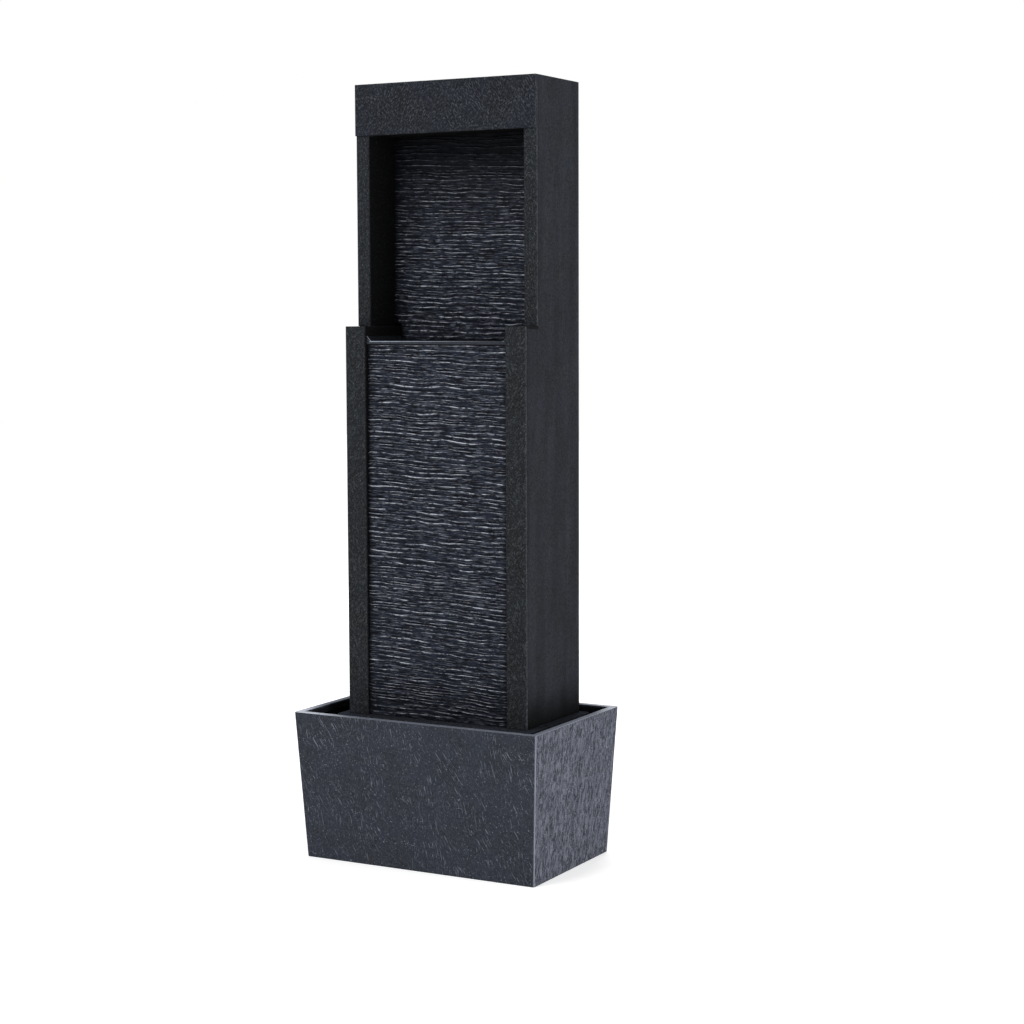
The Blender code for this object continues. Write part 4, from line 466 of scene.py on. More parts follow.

# %% [markdown]
# The basin's two ends are paler and coarser than its front and back, with wavy upright ridges like
# bark. The material tells them by place alone: a point belongs to an end where it lies within a
# millimetre of the end wall's outer plane, which leans outwards with height. Two corners of the
# rim, at the front left and the back right, get a painted reflection, the palest colour of all.

# %% Basin slate
END_SKIN = 1.0 * MM
RIM_SKIN = 0.5 * MM
BARK_SIZE = (12.5 * MM, 3.4 * MM)
BARK_RELIEF = 1.4
END_SPECKS = 600.0
END_WEAR = 0.9
END_DEEP, END_PALE = (0.030, 0.033, 0.043), (0.132, 0.141, 0.176)
END_LIGHT = (0.26, 0.275, 0.32)
RIM_SHEEN = (0.55, 0.58, 0.65)


def on_end_wall(tree):
    """1 on the outer faces of the basin's left and right ends."""
    low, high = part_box("basin")
    corners = [vert.co for vert in frame["nodes"]["basin"].data.vertices]
    foot_half = max(point.x for point in corners if point.z < low.z + MM)
    lean = (high.x - foot_half) / (high.z - low.z)
    place = parts_of(tree, object_place(tree))
    wall = calc(tree, "ADD", times(tree, place["Z"], lean), foot_half - END_SKIN)
    return calc(tree, "GREATER_THAN", calc(tree, "ABSOLUTE", place["X"]), wall)


def corner_sheen(tree):
    """1 on the rim at its front left and back right corners, where a reflection is painted."""
    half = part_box("basin")[1]
    place = parts_of(tree, object_place(tree))
    across = calc(tree, "DIVIDE", place["X"], half.x)
    deep = calc(tree, "DIVIDE", place["Y"], half.y)
    corner = spread(tree, times(tree, across, deep), 0.40, 0.95)
    return times(tree, corner, calc(tree, "GREATER_THAN", place["Z"], half.z - RIM_SKIN))


def end_tone(tree, ridge):
    """The colour of an end: ridges, pale specks and worn edges."""
    speck = spread(tree, lumps(tree, END_SPECKS), 0.60, 0.72)
    tone = blend(tree, speck, blend(tree, ridge, END_DEEP, END_PALE), END_LIGHT)
    return blend(tree, times(tree, wear_and_sheen_edge(tree), END_WEAR), tone, END_LIGHT)


def make_basin_slate():
    """The tower's finish, paler, with bark-like ends."""
    made, tree, shader = make_slate(
        "basin slate", (0.023, 0.0255, 0.032), (0.044, 0.048, 0.059), (FALLING, (0.15, 0.0, -1.0)),
        crease=0.17, scratch=1.00, fleck=1.00, edge=0.85, relief=0.50 * MM, even_rub=1.0
    )
    face = shader.inputs["Base Color"].links[0].from_socket
    bump = shader.inputs["Normal"].links[0].from_node
    face_height = bump.inputs["Height"].links[0].from_socket
    bark = drawn(tree, (0.0, 0.14, 1.0), BARK_SIZE, 3.0, 0.60, 1.3)
    ridge = spread(tree, bark, 0.37, 0.63)
    at_end = on_end_wall(tree)
    tone = blend(tree, at_end, face, end_tone(tree, ridge))
    # Painted reflection: two corners of the rim's top turn almost white.
    paint(tree, shader, blend(tree, corner_sheen(tree), tone, RIM_SHEEN))
    height = mix_by(tree, at_end, face_height, times(tree, ridge, BARK_RELIEF))
    tree.links.new(height, bump.inputs["Height"])
    return made


BASIN_SLATE = make_basin_slate()
print("basin finish:", len(BASIN_SLATE.node_tree.nodes), "nodes")

# %% [markdown]
# ## Split rock
#
# The two water faces are moulded from stacked, split slate: thin beds whose top edges stand out
# and catch the light from above. The relief itself is geometry, made below. The material follows
# it with a pale rub on each crest, and adds thin pale lines and a fine grain along the beds. Two
# attributes of the piece steer it: crest is how far a point stands out, and a second number is 1 in
# the open and falls to 0 beside the posts, under the header and at the foot, where shade is painted.

# %% Rock material
ROCK_ROUGHNESS = 0.62
BED_SIZE = (16.0 * MM, 1.6 * MM)
BRUSH_SIZE = (8.0 * MM, 5.0 * MM)
LINE_SIZE = (16.0 * MM, 0.9 * MM)
ROCK_GRAIN = 700.0
LINE_SHARE = 0.36
CREST_RUB = 1.3
ROCK_DEEP, ROCK_PALE = (0.0025, 0.003, 0.005), (0.0175, 0.022, 0.036)
SHADED_ROCK_TONE = (0.004, 0.0045, 0.006)
LINE_TONE = (0.30, 0.33, 0.40)
CREST_TONE = (0.70, 0.74, 0.83)


def make_rock():
    """Bluish-black slate with rubbed crests."""
    made, tree, shader = finish("split rock", ROCK_ROUGHNESS, SLATE_GLOSS)
    unshaded = attribute(tree, "unshaded")
    bed = drawn(tree, (1.0, 0.0, -0.05), BED_SIZE, 3.0, 0.65, 0.3)
    tone = blend(tree, spread(tree, bed, 0.38, 0.66), ROCK_DEEP, ROCK_PALE)
    # Painted shade: the rock darkens towards the posts, up under the header and at the foot.
    tone = blend(tree, unshaded, SHADED_ROCK_TONE, tone)
    line = streaks(tree, (1.0, 0.0, -0.035), LINE_SIZE, (0.55, 0.68), 0.3)
    # The pale lines and, below, the crest rub fade in that painted shade too.
    tone = blend(tree, times(tree, line, unshaded, LINE_SHARE), tone, LINE_TONE)
    brush = spread(tree, drawn(tree, (1.0, 0.0, 0.0), BRUSH_SIZE, 3.0, 0.65), 0.38, 0.60, 0.08)
    rub = times(tree, attribute(tree, "crest"), brush, unshaded)
    paint(tree, shader, blend(tree, calc(tree, "MULTIPLY", rub, CREST_RUB, clamp=True), tone, CREST_TONE))
    raise_surface(tree, shader, mix_by(tree, 0.3, bed, lumps(tree, ROCK_GRAIN)), 0.5 * MM)
    return made


ROCK = make_rock()
print("rock material:", ROCK.name)

# %% [markdown]
# ## Plastics, metals, rubber and glass
#
# Even a plain moulding isn't one flat colour: it has a fine spark-eroded texture, a slow drift in
# tone, and a gloss that varies where it has been handled. One function gives all of them. Its
# numbers are the colour, the roughness, the texture in lumps per metre and the texture's depth.

# %% Plain finishes
DRIFT_SCALE = 55.0


def make_moulding(name, colour, roughness, texture, depth, specular=0.45, metallic=0.0, drift=0.18):
    """A moulded or milled surface: tone drift, fine texture and uneven gloss."""
    made, tree, shader = finish(name, roughness, specular, metallic)
    slow = spread(tree, lumps(tree, DRIFT_SCALE), 0.3, 0.7)
    fine = lumps(tree, texture, 2.0, 0.6)
    paint(tree, shader, blend(tree, slow, scaled(colour, 1 - drift), scaled(colour, 1 + drift)))
    gloss = spread(tree, fine, 0.3, 0.7, max(0.02, roughness - 0.08), min(1.0, roughness + 0.10))
    tree.links.new(gloss, shader.inputs["Roughness"])
    raise_surface(tree, shader, fine, depth)
    return made


def make_brushed_steel():
    """Stainless steel, drawn round the axis it was rolled on."""
    made, tree, shader = finish("brushed steel", 0.3, metallic=1.0)
    grain = drawn(tree, (1.0, 0.0, 0.0), (10.0 * MM, 0.2 * MM))
    paint(tree, shader, blend(tree, grain, (0.46, 0.47, 0.49), (0.66, 0.67, 0.69)))
    tree.links.new(spread(tree, grain, 0.3, 0.7, 0.22, 0.40), shader.inputs["Roughness"])
    raise_surface(tree, shader, grain, 0.02 * MM)
    return made


INNER_PLASTIC = make_moulding("inner plastic", (0.020, 0.021, 0.023), 0.55, 1400.0, 0.06 * MM, specular=0.15)
PUMP_PLASTIC = make_moulding("pump plastic", (0.014, 0.015, 0.017), 0.36, 900.0, 0.03 * MM)
ROTOR_PLASTIC = make_moulding("rotor plastic", (0.70, 0.71, 0.72), 0.40, 1200.0, 0.03 * MM, drift=0.04)
CERAMIC = make_moulding("shaft ceramic", (0.85, 0.85, 0.82), 0.22, 2000.0, 0.01 * MM, drift=0.03)
HOSE = make_moulding("hose vinyl", (0.58, 0.62, 0.62), 0.28, 500.0, 0.04 * MM, drift=0.06)
RUBBER = make_moulding("rubber", (0.018, 0.018, 0.018), 0.72, 1600.0, 0.05 * MM)
CELL_WRAP = make_moulding("cell wrap", (0.02, 0.22, 0.30), 0.32, 700.0, 0.03 * MM, drift=0.08)
BUTTON = make_moulding("button cap", (0.10, 0.10, 0.11), 0.42, 1500.0, 0.05 * MM)
BACK_SHEET = make_moulding("panel back sheet", (0.020, 0.022, 0.027), 0.55, 1200.0, 0.03 * MM, specular=0.10)
SILVER = make_moulding(
    "cell silver", (0.34, 0.35, 0.38), 0.45, 1500.0, 0.01 * MM, specular=0.2, metallic=0.5, drift=0.05
)
STEEL = make_brushed_steel()
print("finishes so far:", len(bpy.data.materials))

# %% [markdown]
# ## Solar panel and circuit board
#
# Silicon cells are nearly black with a blue cast, and the crystal catches light unevenly. The clear
# sheet over them is a real glass shader, whose low refractive index stands for the skin that keeps
# a solar glass from mirroring the sky. The board's green resist shows its copper tracks as slightly
# lighter lines, which a square-ish distance pattern can suggest.

# %% Cell, glass and board materials
CRYSTAL_SCALE = 160.0
TRACK_SCALE = 320.0
SKINNED_GLASS_INDEX = 1.30


def make_silicon():
    """Blue-black silicon with crystal patches."""
    made, tree, shader = finish("silicon", 0.35, specular=0.08)
    crystal = add_node(tree, "ShaderNodeTexVoronoi", {"Vector": object_place(tree), "Scale": CRYSTAL_SCALE})
    paint(tree, shader, blend(tree, crystal.outputs["Color"], (0.003, 0.005, 0.017), (0.008, 0.014, 0.044)))
    raise_surface(tree, shader, lumps(tree, 2200.0, 1.0), 0.01 * MM)
    return made


def make_panel_glass():
    """Clear, slightly textured solar glass."""
    made, tree, shader = finish("panel glass", 0.05)
    shader.inputs["Transmission Weight"].default_value = 1.0
    shader.inputs["IOR"].default_value = SKINNED_GLASS_INDEX
    haze = lumps(tree, 90.0, 3.0)
    paint(tree, shader, blend(tree, haze, (0.90, 0.94, 0.95), (0.96, 0.98, 0.98)))
    tree.links.new(spread(tree, haze, 0.3, 0.7, 0.02, 0.09), shader.inputs["Roughness"])
    return made


def make_board():
    """Green resist over copper tracks."""
    made, tree, shader = finish("circuit board", 0.42)
    cell = add_node(
        tree, "ShaderNodeTexVoronoi", {"Vector": object_place(tree), "Scale": TRACK_SCALE},
        distance="CHEBYCHEV", feature="F1"
    )
    track = spread(tree, cell.outputs["Distance"], 0.30, 0.36)
    paint(tree, shader, blend(tree, track, (0.010, 0.085, 0.030), (0.030, 0.170, 0.060)))
    raise_surface(tree, shader, track, 0.04 * MM)
    return made


SILICON = make_silicon()
PANEL_GLASS = make_panel_glass()
BOARD = make_board()
print("panel and board materials ready")

# %% [markdown]
# ## Pieces that keep the imported shape but not its razor edges
#
# A casting has no razor edge. Each slate piece is copied from its imported solid, its triangles are
# joined back into whole faces, and its corners get a small bevel. The points in the middle of a
# rounded outer edge carry a number for wear and painted sheen, on which the slate material rubs its
# pale pigment; on the basin's rim top and the ledge's lip the same number paints sheen and a highlight.
# The points that a rounding shares with a wide face carry none, so it falls off within the edge.

# %% Wear on rounded edges
SHARP = math.radians(32.0)
WORN = math.radians(10.0)
SMOOTH = math.radians(40.0)
FLAT = math.radians(0.5)
WIDE_FACE = 2.5 * MM
WELD = 0.005 * MM
UPRIGHT_SHARE = 0.9


def ramp(value, start, end):
    """0 before start, 1 after end, and even between."""
    return max(0.0, min(1.0, (value - start) / (end - start)))


def add_piece(name, mesh, node, body="fountain"):
    """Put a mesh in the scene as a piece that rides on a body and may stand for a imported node."""
    piece = add_object(name, mesh)
    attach(piece, body)
    if node:
        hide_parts(node)
    print(name, len(mesh.polygons), "faces")


def as_mesh(shape, name):
    """A finished shape as a mesh."""
    mesh = bpy.data.meshes.new(name)
    shape.to_mesh(mesh)
    shape.free()
    return mesh


def soften(mesh, sharp_from):
    """Shade a mesh smooth, except where its faces meet more sharply."""
    mesh.shade_smooth()
    mesh.set_sharp_from_angle(angle=sharp_from)
    return mesh


def mark_wear(shape, wear_and_sheen, upright):
    """Set the worn mark to 1 within the strips that round an outer edge, and to 0 where they meet a wide
    face.
    With upright, only edges that stand are worn."""
    for edge in shape.edges:
        first, second = (vert.co for vert in edge.verts)
        length = edge.calc_length()
        stands = abs(first.z - second.z) > UPRIGHT_SHARE * length and length > WIDE_FACE
        bends = len(edge.link_faces) == 2 and edge.calc_face_angle_signed() > WORN
        if bends and (stands or not upright):
            for vert in edge.verts:
                vert[wear_and_sheen] = 1.0
    for face in shape.faces:
        longest = max(edge.calc_length() for edge in face.edges)
        if face.calc_area() / longest > WIDE_FACE:
            for vert in face.verts:
                vert[wear_and_sheen] = 0.0


print("edges sharper than", round(math.degrees(SHARP)), "degrees are softened")

# %% [markdown]
# The faces are then sliced into a grid, so that the surface can be hammered for real. Slicing
# keeps every edge exactly where it was, which a voxel remesh would not. The middle plane comes
# first and each half is cut on its own, so that no face meets more planes than it has to.

# %% Worn copies
SLICED_AREA = 100 * MM * MM
ON_PLANE = 0.02 * MM


def slice_between(shape, faces, axis, cuts):
    """Cut faces along planes at the given heights of an axis, halving the list each time."""
    if not faces or not cuts:
        return faces
    middle = len(cuts) // 2
    direction = Vector((0.0, 0.0, 0.0))
    direction[axis] = 1.0
    touching = {item for face in faces for item in (*face.verts, *face.edges)}
    made = bmesh.ops.bisect_plane(
        shape, geom=faces + list(touching), dist=ON_PLANE,
        plane_co=direction * cuts[middle], plane_no=direction
    )["geom"]
    sides = ([], [])
    for face in made:
        if isinstance(face, bmesh.types.BMFace):
            sides[face.calc_center_median()[axis] > cuts[middle]].append(face)
    below = slice_between(shape, sides[0], axis, cuts[:middle])
    return below + slice_between(shape, sides[1], axis, cuts[middle + 1:])


def slice_faces(shape, step, low, high):
    """Cut the large faces along planes a step apart in X, Y and Z."""
    faces = [face for face in shape.faces if face.calc_area() > SLICED_AREA]
    for axis in range(3):
        count = round((high[axis] - low[axis]) / step)
        cuts = [low[axis] + (high[axis] - low[axis]) * index / count for index in range(1, count)]
        faces = slice_between(shape, faces, axis, cuts)


def worn_copy(node, radius, step=None, painted_shade=None, upright=False, wear_and_sheen_from=None):
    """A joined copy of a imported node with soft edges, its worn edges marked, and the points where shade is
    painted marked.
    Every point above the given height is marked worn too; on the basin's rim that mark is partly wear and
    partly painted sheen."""
    shape = bmesh.new()
    shape.from_mesh(frame["nodes"][node].data)
    bmesh.ops.remove_doubles(shape, verts=shape.verts, dist=WELD)
    bmesh.ops.dissolve_limit(shape, angle_limit=FLAT, verts=shape.verts, edges=shape.edges)
    wear_and_sheen, shade_paint = (shape.verts.layers.float.new(name) for name in ("wear_and_sheen", "painted_shade"))
    edges = [edge for edge in shape.edges if len(edge.link_faces) == 2 and edge.calc_face_angle() > SHARP]
    bmesh.ops.bevel(
        shape, geom=edges, offset=radius, segments=2, profile=0.5, affect="EDGES", clamp_overlap=True
    )
    mark_wear(shape, wear_and_sheen, upright)
    if step:
        slice_faces(shape, step, *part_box(node))
    for vert in shape.verts:
        vert[shade_paint] = painted_shade(vert.co) if painted_shade else 0.0
        if wear_and_sheen_from and vert.co.z > wear_and_sheen_from:
            vert[wear_and_sheen] = 1.0
    return soften(as_mesh(shape, node + "_copy"), SMOOTH)


print("faces over", round(SLICED_AREA / MM / MM), "square millimetres are sliced")

# %% [markdown]
# ## Hammering the slate with Geometry Nodes
#
# One small tree moves each point of a slate piece along its normal by a wavy noise, which leaves
# shallow dents. Faces that look straight down stay flat, because pieces stand on them. Its inputs
# are the dent's depth and size, the seed and the material, so it serves the basin, posts and casing.

# %% Hammering tree
LOOKS_DOWN = -0.5


def new_tree(name, **inputs):
    """An empty Geometry Nodes tree and its inputs: a mesh, the named ones of each kind, and a material."""
    tree = bpy.data.node_groups.new(name, "GeometryNodeTree")
    for kind, labels in {"Geometry": ["Geometry"], **inputs, "Material": ["Material"]}.items():
        for label in labels:
            tree.interface.new_socket(name=label, in_out="INPUT", socket_type="NodeSocket" + kind)
    tree.interface.new_socket(name="Geometry", in_out="OUTPUT", socket_type="NodeSocketGeometry")
    return tree, add_node(tree, "NodeGroupInput").outputs


def end_tree(tree, geometry, material):
    """Realize the instances, set the material and send the result out."""
    real = add_node(tree, "GeometryNodeRealizeInstances", {"Geometry": geometry})
    dressed = add_node(tree, "GeometryNodeSetMaterial", {"Geometry": real.outputs[0], "Material": material})
    add_node(tree, "NodeGroupOutput", {"Geometry": dressed.outputs[0]})
    print("tree:", tree.name, "with", len(tree.nodes), "nodes")
    return tree


def settle(mesh, tree, values):
    """Run a tree on a mesh and keep what it makes as a plain mesh."""
    source = add_object("blank", mesh)
    modifier = source.modifiers.new("nodes", "NODES")
    modifier.node_group = tree
    for socket in tree.interface.items_tree:
        if socket.item_type == "SOCKET" and socket.in_out == "INPUT" and socket.name in values:
            modifier[socket.identifier] = values[socket.name]
    graph = bpy.context.evaluated_depsgraph_get()
    made = bpy.data.meshes.new_from_object(
        source.evaluated_get(graph), preserve_all_data_layers=True, depsgraph=graph
    )
    bpy.data.objects.remove(source, do_unlink=True)
    return made


def make_hammer_tree():
    """Dents along the normal, except under the piece."""
    tree, given = new_tree("hammered slate", Float=["Depth", "Size", "Seed"])
    facing = add_node(tree, "GeometryNodeInputNormal").outputs[0]
    place = moved_by(tree, add_node(tree, "GeometryNodeInputPosition").outputs[0], given["Seed"])
    dent = centred(tree, noise(tree, place, calc(tree, "DIVIDE", 1.0, given["Size"]), 2.0, 0.6, 0.4))
    standing = calc(tree, "GREATER_THAN", parts_of(tree, facing)["Z"], LOOKS_DOWN)
    offset = stretched(tree, facing, times(tree, dent, given["Depth"], standing))
    moved = add_node(tree, "GeometryNodeSetPosition", {"Geometry": given["Geometry"], "Offset": offset})
    return end_tree(tree, moved.outputs[0], given["Material"])


HAMMER = make_hammer_tree()

# %% [markdown]
# ## The basin and the tower's shells
#
# The basin's walls are thin and lean outwards to a flat rim. Its inner side and the niche's side
# walls look almost black, where they lie in shade: those points are marked, and the material paints
# that shade there, dark but for a few specks. The casing's foot gets painted shade too, up to a ragged
# line a little above the rim, where the basin's wall shades it.

# %% Slate pieces
BASIN_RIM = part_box("basin")[1]
WALL_LEAN_X, WALL_LEAN_Y = 9.5 * MM, 12.0 * MM
IN_WALL = 3.0 * MM
IN_FOOT = 1.0 * MM
UNDER_RIM = 1.5 * MM
RIM_WEAR_AND_SHEEN = 0.2 * MM
POST_SKIN = 3.5 * MM
SHADE_HEIGHT = 42.0 * MM
SHADE_RAGGED = 12.0 * MM
SHADE_PATCHES = 50.0
SEED_STEP = 3.7


def in_basin(point):
    """1 within the basin's walls, below its rim, where shade is painted."""
    share = 1 - point.z / BASIN_RIM.z
    inner_x = BASIN_RIM.x - WALL_LEAN_X * share - IN_WALL
    inner_y = BASIN_RIM.y - WALL_LEAN_Y * share - IN_WALL
    within = abs(point.x) < inner_x and abs(point.y) < inner_y
    return 1.0 if within and IN_FOOT < point.z < BASIN_RIM.z - UNDER_RIM else 0.0


def behind_posts(node):
    """A test that is 1 for points further back than the front of a frame."""
    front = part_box(node)[0].y
    return lambda point: 1.0 if point.y > front + POST_SKIN else 0.0


# Painted shade: the casing darkens at its foot, up to a ragged line above the basin's rim.
def shaded_foot(point):
    """1 at the casing's foot, where it stands in the basin and shade is painted, and 0 from two fingers
    above the rim.
    """
    ragged = SHADE_RAGGED * noise_3d.noise(point * SHADE_PATCHES)
    return ramp(BASIN_RIM.z + SHADE_HEIGHT + ragged - point.z, 0.0, SHADE_HEIGHT)


# Node, material, test for where shade is painted, and in millimetres edge radius, grid step, dent depth and
# size
SLATE_PIECES = [
    ("basin", BASIN_SLATE, in_basin, 0.9, 3.0, 0.5, 9.0),
    ("header_fascia", TOWER_SLATE, None, 0.5, 2.5, 0.25, 7.0),
    ("upper_frame", POST_SLATE, behind_posts("upper_frame"), 0.4, 4.0, 0.15, 8.0),
    ("lower_frame", POST_SLATE, behind_posts("lower_frame"), 0.4, 4.0, 0.15, 8.0),
    ("tower_casing", CASING_SLATE, shaded_foot, 0.4, 8.0, 0.2, 30.0),
    ("plinth", SUNK_SLATE, None, 0.6, 8.0, 0.15, 9.0),
]
for seed, (node, material, painted_shade, *sizes) in enumerate(SLATE_PIECES, start=1):
    radius, step, depth, size = (value * MM for value in sizes)
    is_basin = node == "basin"
    # The basin's rim top is marked too: partly rubbed wear, partly painted sheen.
    wear_and_sheen_from = BASIN_RIM.z - RIM_WEAR_AND_SHEEN if is_basin else None
    blank = worn_copy(node, radius, step, painted_shade, upright=not is_basin, wear_and_sheen_from=wear_and_sheen_from)
    values = {"Depth": depth, "Size": size, "Seed": SEED_STEP * seed, "Material": material}
    slot = "basin_slate" if is_basin else "tower_slate"
    add_piece(node + "_slate", settle(blank, HAMMER, values), node)

# %% [markdown]
# ## The split-rock faces
#
# Each face is a stack of beds. A bed leans out to its crest, steps back in a short chamfer that
# catches the light from above, and the next one starts. Noise along each bed makes its crest come
# and go, and a slower noise lifts and lowers all beds together, so that no line is ruled. How far
# a point stands out becomes the attribute crest; a high power keeps it to the bed's very edge.

# %% Shapes of the beds
CREST_SHARE = 0.74
CREST_POWER = 20.0
ON_ROW = 0.001
RUN_SCALE = 24.0
BED_JUMP = 7.31
OWN_RUN = 0.7
CHIP_SCALE = 260.0
CHIP_DEPTH = 0.7 * MM
SLOW_SCALE, QUICK_SCALE = 16.0, 60.0
QUICK_SHARE = 0.22


def bed_profile(tree, height):
    """A point's bed, and how far the bed stands out there: 0 at its foot and top, 1 at its crest."""
    bed = calc(tree, "FLOOR", calc(tree, "ADD", height, ON_ROW))
    share = calc(tree, "SUBTRACT", height, bed)
    lean = calc(tree, "DIVIDE", share, CREST_SHARE)
    chamfer = calc(tree, "DIVIDE", calc(tree, "SUBTRACT", 1.0, share), 1 - CREST_SHARE)
    return bed, calc(tree, "MINIMUM", lean, chamfer, clamp=True)


def bed_run(tree, where, bed, seed):
    """Places along X that jump from bed to bed, so that each bed meets a noise of its own."""
    across = times(tree, parts_of(tree, where)["X"], RUN_SCALE)
    own = calc(tree, "ADD", times(tree, bed, BED_JUMP), seed)
    return add_node(tree, "ShaderNodeCombineXYZ", {0: across, 1: own}).outputs[0]


def bed_depth(tree, profile, stand, place, relief):
    """How far a point stands out of the panel's middle plane, with small chips."""
    chip = times(tree, centred(tree, noise(tree, place, CHIP_SCALE, 2.0, 0.6)), CHIP_DEPTH)
    out = calc(tree, "ADD", times(tree, profile, stand, relief), chip)
    return calc(tree, "SUBTRACT", out, times(tree, relief, 0.5))


def bed_rise(tree, place, run, profile, given):
    """How far a point rises: all beds wander together, and each crest a little by itself."""
    slow = centred(tree, noise(tree, place, SLOW_SCALE))
    quick = times(tree, centred(tree, noise(tree, place, QUICK_SCALE, 1.0)), QUICK_SHARE)
    together = times(tree, calc(tree, "ADD", slow, quick), given["Wander"])
    own = centred(tree, noise(tree, stretched(tree, run, OWN_RUN), 1.0, 2.0, 0.55))
    return calc(tree, "ADD", together, times(tree, own, given["Bed"], profile))


print("beds have their crest at", CREST_SHARE, "of their height")

# %% [markdown]
# The tree puts these together. The blank's points carry two numbers for it: layer counts the beds
# upwards, and front is 1 in the middle of the panel's face and falls to nothing along its border.

# %% Rock tree


def blank_number(tree, name):
    """A number that the blank's points carry."""
    return add_node(tree, "GeometryNodeInputNamedAttribute", {"Name": name}, data_type="FLOAT").outputs[0]


def make_rock_tree():
    """Beds of split slate on the front of a panel."""
    tree, given = new_tree("split slate beds", Float=["Bed", "Relief", "Wander", "Seed"])
    where = add_node(tree, "GeometryNodeInputPosition").outputs[0]
    place = moved_by(tree, where, given["Seed"])
    front = blank_number(tree, "front")
    bed, profile = bed_profile(tree, blank_number(tree, "layer"))
    run = bed_run(tree, where, bed, given["Seed"])
    stand = spread(tree, noise(tree, run, 1.0, 4.0, 0.68), 0.40, 0.62, 0.04)
    out = bed_depth(tree, profile, stand, place, given["Relief"])
    back = times(tree, out, -1.0, spread(tree, front, 0.0, 0.01))
    rise = times(tree, bed_rise(tree, place, run, profile, given), front)
    offset = add_node(tree, "ShaderNodeCombineXYZ", {1: back, 2: rise}).outputs[0]
    crest = times(tree, calc(tree, "POWER", profile, CREST_POWER), stand)
    kept = add_node(tree, "GeometryNodeStoreNamedAttribute", {
        "Geometry": given["Geometry"], "Name": "crest", "Value": crest,
    }, data_type="FLOAT", domain="POINT")
    moved = add_node(tree, "GeometryNodeSetPosition", {"Geometry": kept.outputs[0], "Offset": offset})
    return end_tree(tree, moved.outputs[0], given["Material"])


ROCK_TREE = make_rock_tree()

# %% [markdown]
# The blank is a sheet of small faces with a flat back and the panel's own outline, so that it still
# fits between the posts. Its rows fall a little to the right, as the real beds do. A number on its
# points is 1 in the open and falls to 0 in the corners beside the posts, up under the header and at
# the foot: there the material paints shade.

# %% Rock panel blank
ROWS = (0.0, 0.34, 0.64, CREST_SHARE, 0.82)
THICKEST, THINNEST = 1.45, 0.55
COLUMN = 1.6 * MM
MARGIN = 4.0 * MM
FALL_MARGIN = 4 * MARGIN
LEAST_FRONT = 0.02
BED_FALL = 0.035
SIDE_SHADE = 8.0 * MM
FOOT_SHADE_LEVEL = 0.55
TOP_SHADE = 0.04


def bed_levels(bottom, top, bed_count):
    """Heights of the rows of points: beds of uneven thickness, each with the same few rows."""
    chance = random.Random(bed_count)
    thick = [chance.uniform(THINNEST, THICKEST) for _ in range(bed_count)]
    scale = (top - bottom) / sum(thick)
    levels, start = [], bottom
    for bed in thick:
        levels += [start + share * bed * scale for share in ROWS]
        start += bed * scale
    return levels + [top]


def unshaded_share(aside, above, below, shade):
    """How far a point lies out of the painted shade, by its way from the nearer side, the foot and the top.
    """
    foot_band, top_band = shade
    at_foot = FOOT_SHADE_LEVEL + (1 - FOOT_SHADE_LEVEL) * ramp(above, 0.0, foot_band)
    return ramp(aside, 0.0, SIDE_SHADE) * at_foot * ramp(below, TOP_SHADE * top_band, top_band)


def close_back(shape, back_y, front):
    """Draw a sheet's border back to a plane and fill it there."""
    border = [edge for edge in shape.edges if edge.is_boundary]
    made = bmesh.ops.extrude_edge_only(shape, edges=border)["geom"]
    for vert in (item for item in made if isinstance(item, bmesh.types.BMVert)):
        vert.co.y = back_y
        vert[front] = 0.0
    bmesh.ops.contextual_create(shape, geom=[edge for edge in shape.edges if edge.is_boundary])
    bmesh.ops.recalc_face_normals(shape, faces=shape.faces)


def panel_blank(node, bed_count, face_y, notch, shade):
    """A closed panel in the node's box: a fine front that slopes as face_y says, and a plain back.
    notch is how much narrower each side is, and below which height. shade is how high the dark
    bands at the foot and at the top are."""
    low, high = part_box(node)
    shape = bmesh.new()
    front, unshaded, layer = (shape.verts.layers.float.new(name) for name in ("front", "unshaded", "layer"))
    counts = [index + share for index in range(bed_count) for share in ROWS] + [float(bed_count)]
    columns = round((high.x - low.x) / COLUMN)
    grid = []
    for count, level in zip(counts, bed_levels(low.z, high.z, bed_count)):
        inset = notch[0] if level < notch[1] else 0.0
        left, right = low.x + inset, high.x - inset
        fall = BED_FALL * min(1.0, min(level - low.z, high.z - level) / FALL_MARGIN)
        row = []
        for index in range(columns + 1):
            x = left + (right - left) * index / columns
            height = level - fall * (x - (low.x + high.x) / 2)
            aside, above, below = min(x - left, right - x), height - low.z, high.z - height
            vert = shape.verts.new((x, face_y(height), height))
            vert[front] = max(LEAST_FRONT, min(1.0, min(aside, above, below) / MARGIN))
            # Painted shade: this number falls to 0 towards the sides, the foot and the top.
            vert[unshaded] = unshaded_share(aside, above, below, shade)
            vert[layer] = count
            row.append(vert)
        grid.append(row)
    for lower, upper in zip(grid, grid[1:]):
        for corners in zip(lower, lower[1:], upper[1:], upper):
            shape.faces.new(corners)
    close_back(shape, high.y, front)
    return as_mesh(shape, node + "_blank"), (high.z - low.z) / bed_count


print("a bed has", len(ROWS), "rows of points")

# %% [markdown]
# The upper panel has a notch on each side at its foot, where it stands between the shoulders of
# the step. Its top lies in the header's shade, and the lower panel's foot in the basin's: both are painted
# shade.

# %% Rock panels
WANDER = 7.5 * MM
ROCK_SEED_STEP = 5.3
ROCK_SMOOTH = math.radians(50.0)
SHOULDER_NOTCH = (10.0 * MM, 0.6663)
NO_NOTCH = (0.0, 0.0)
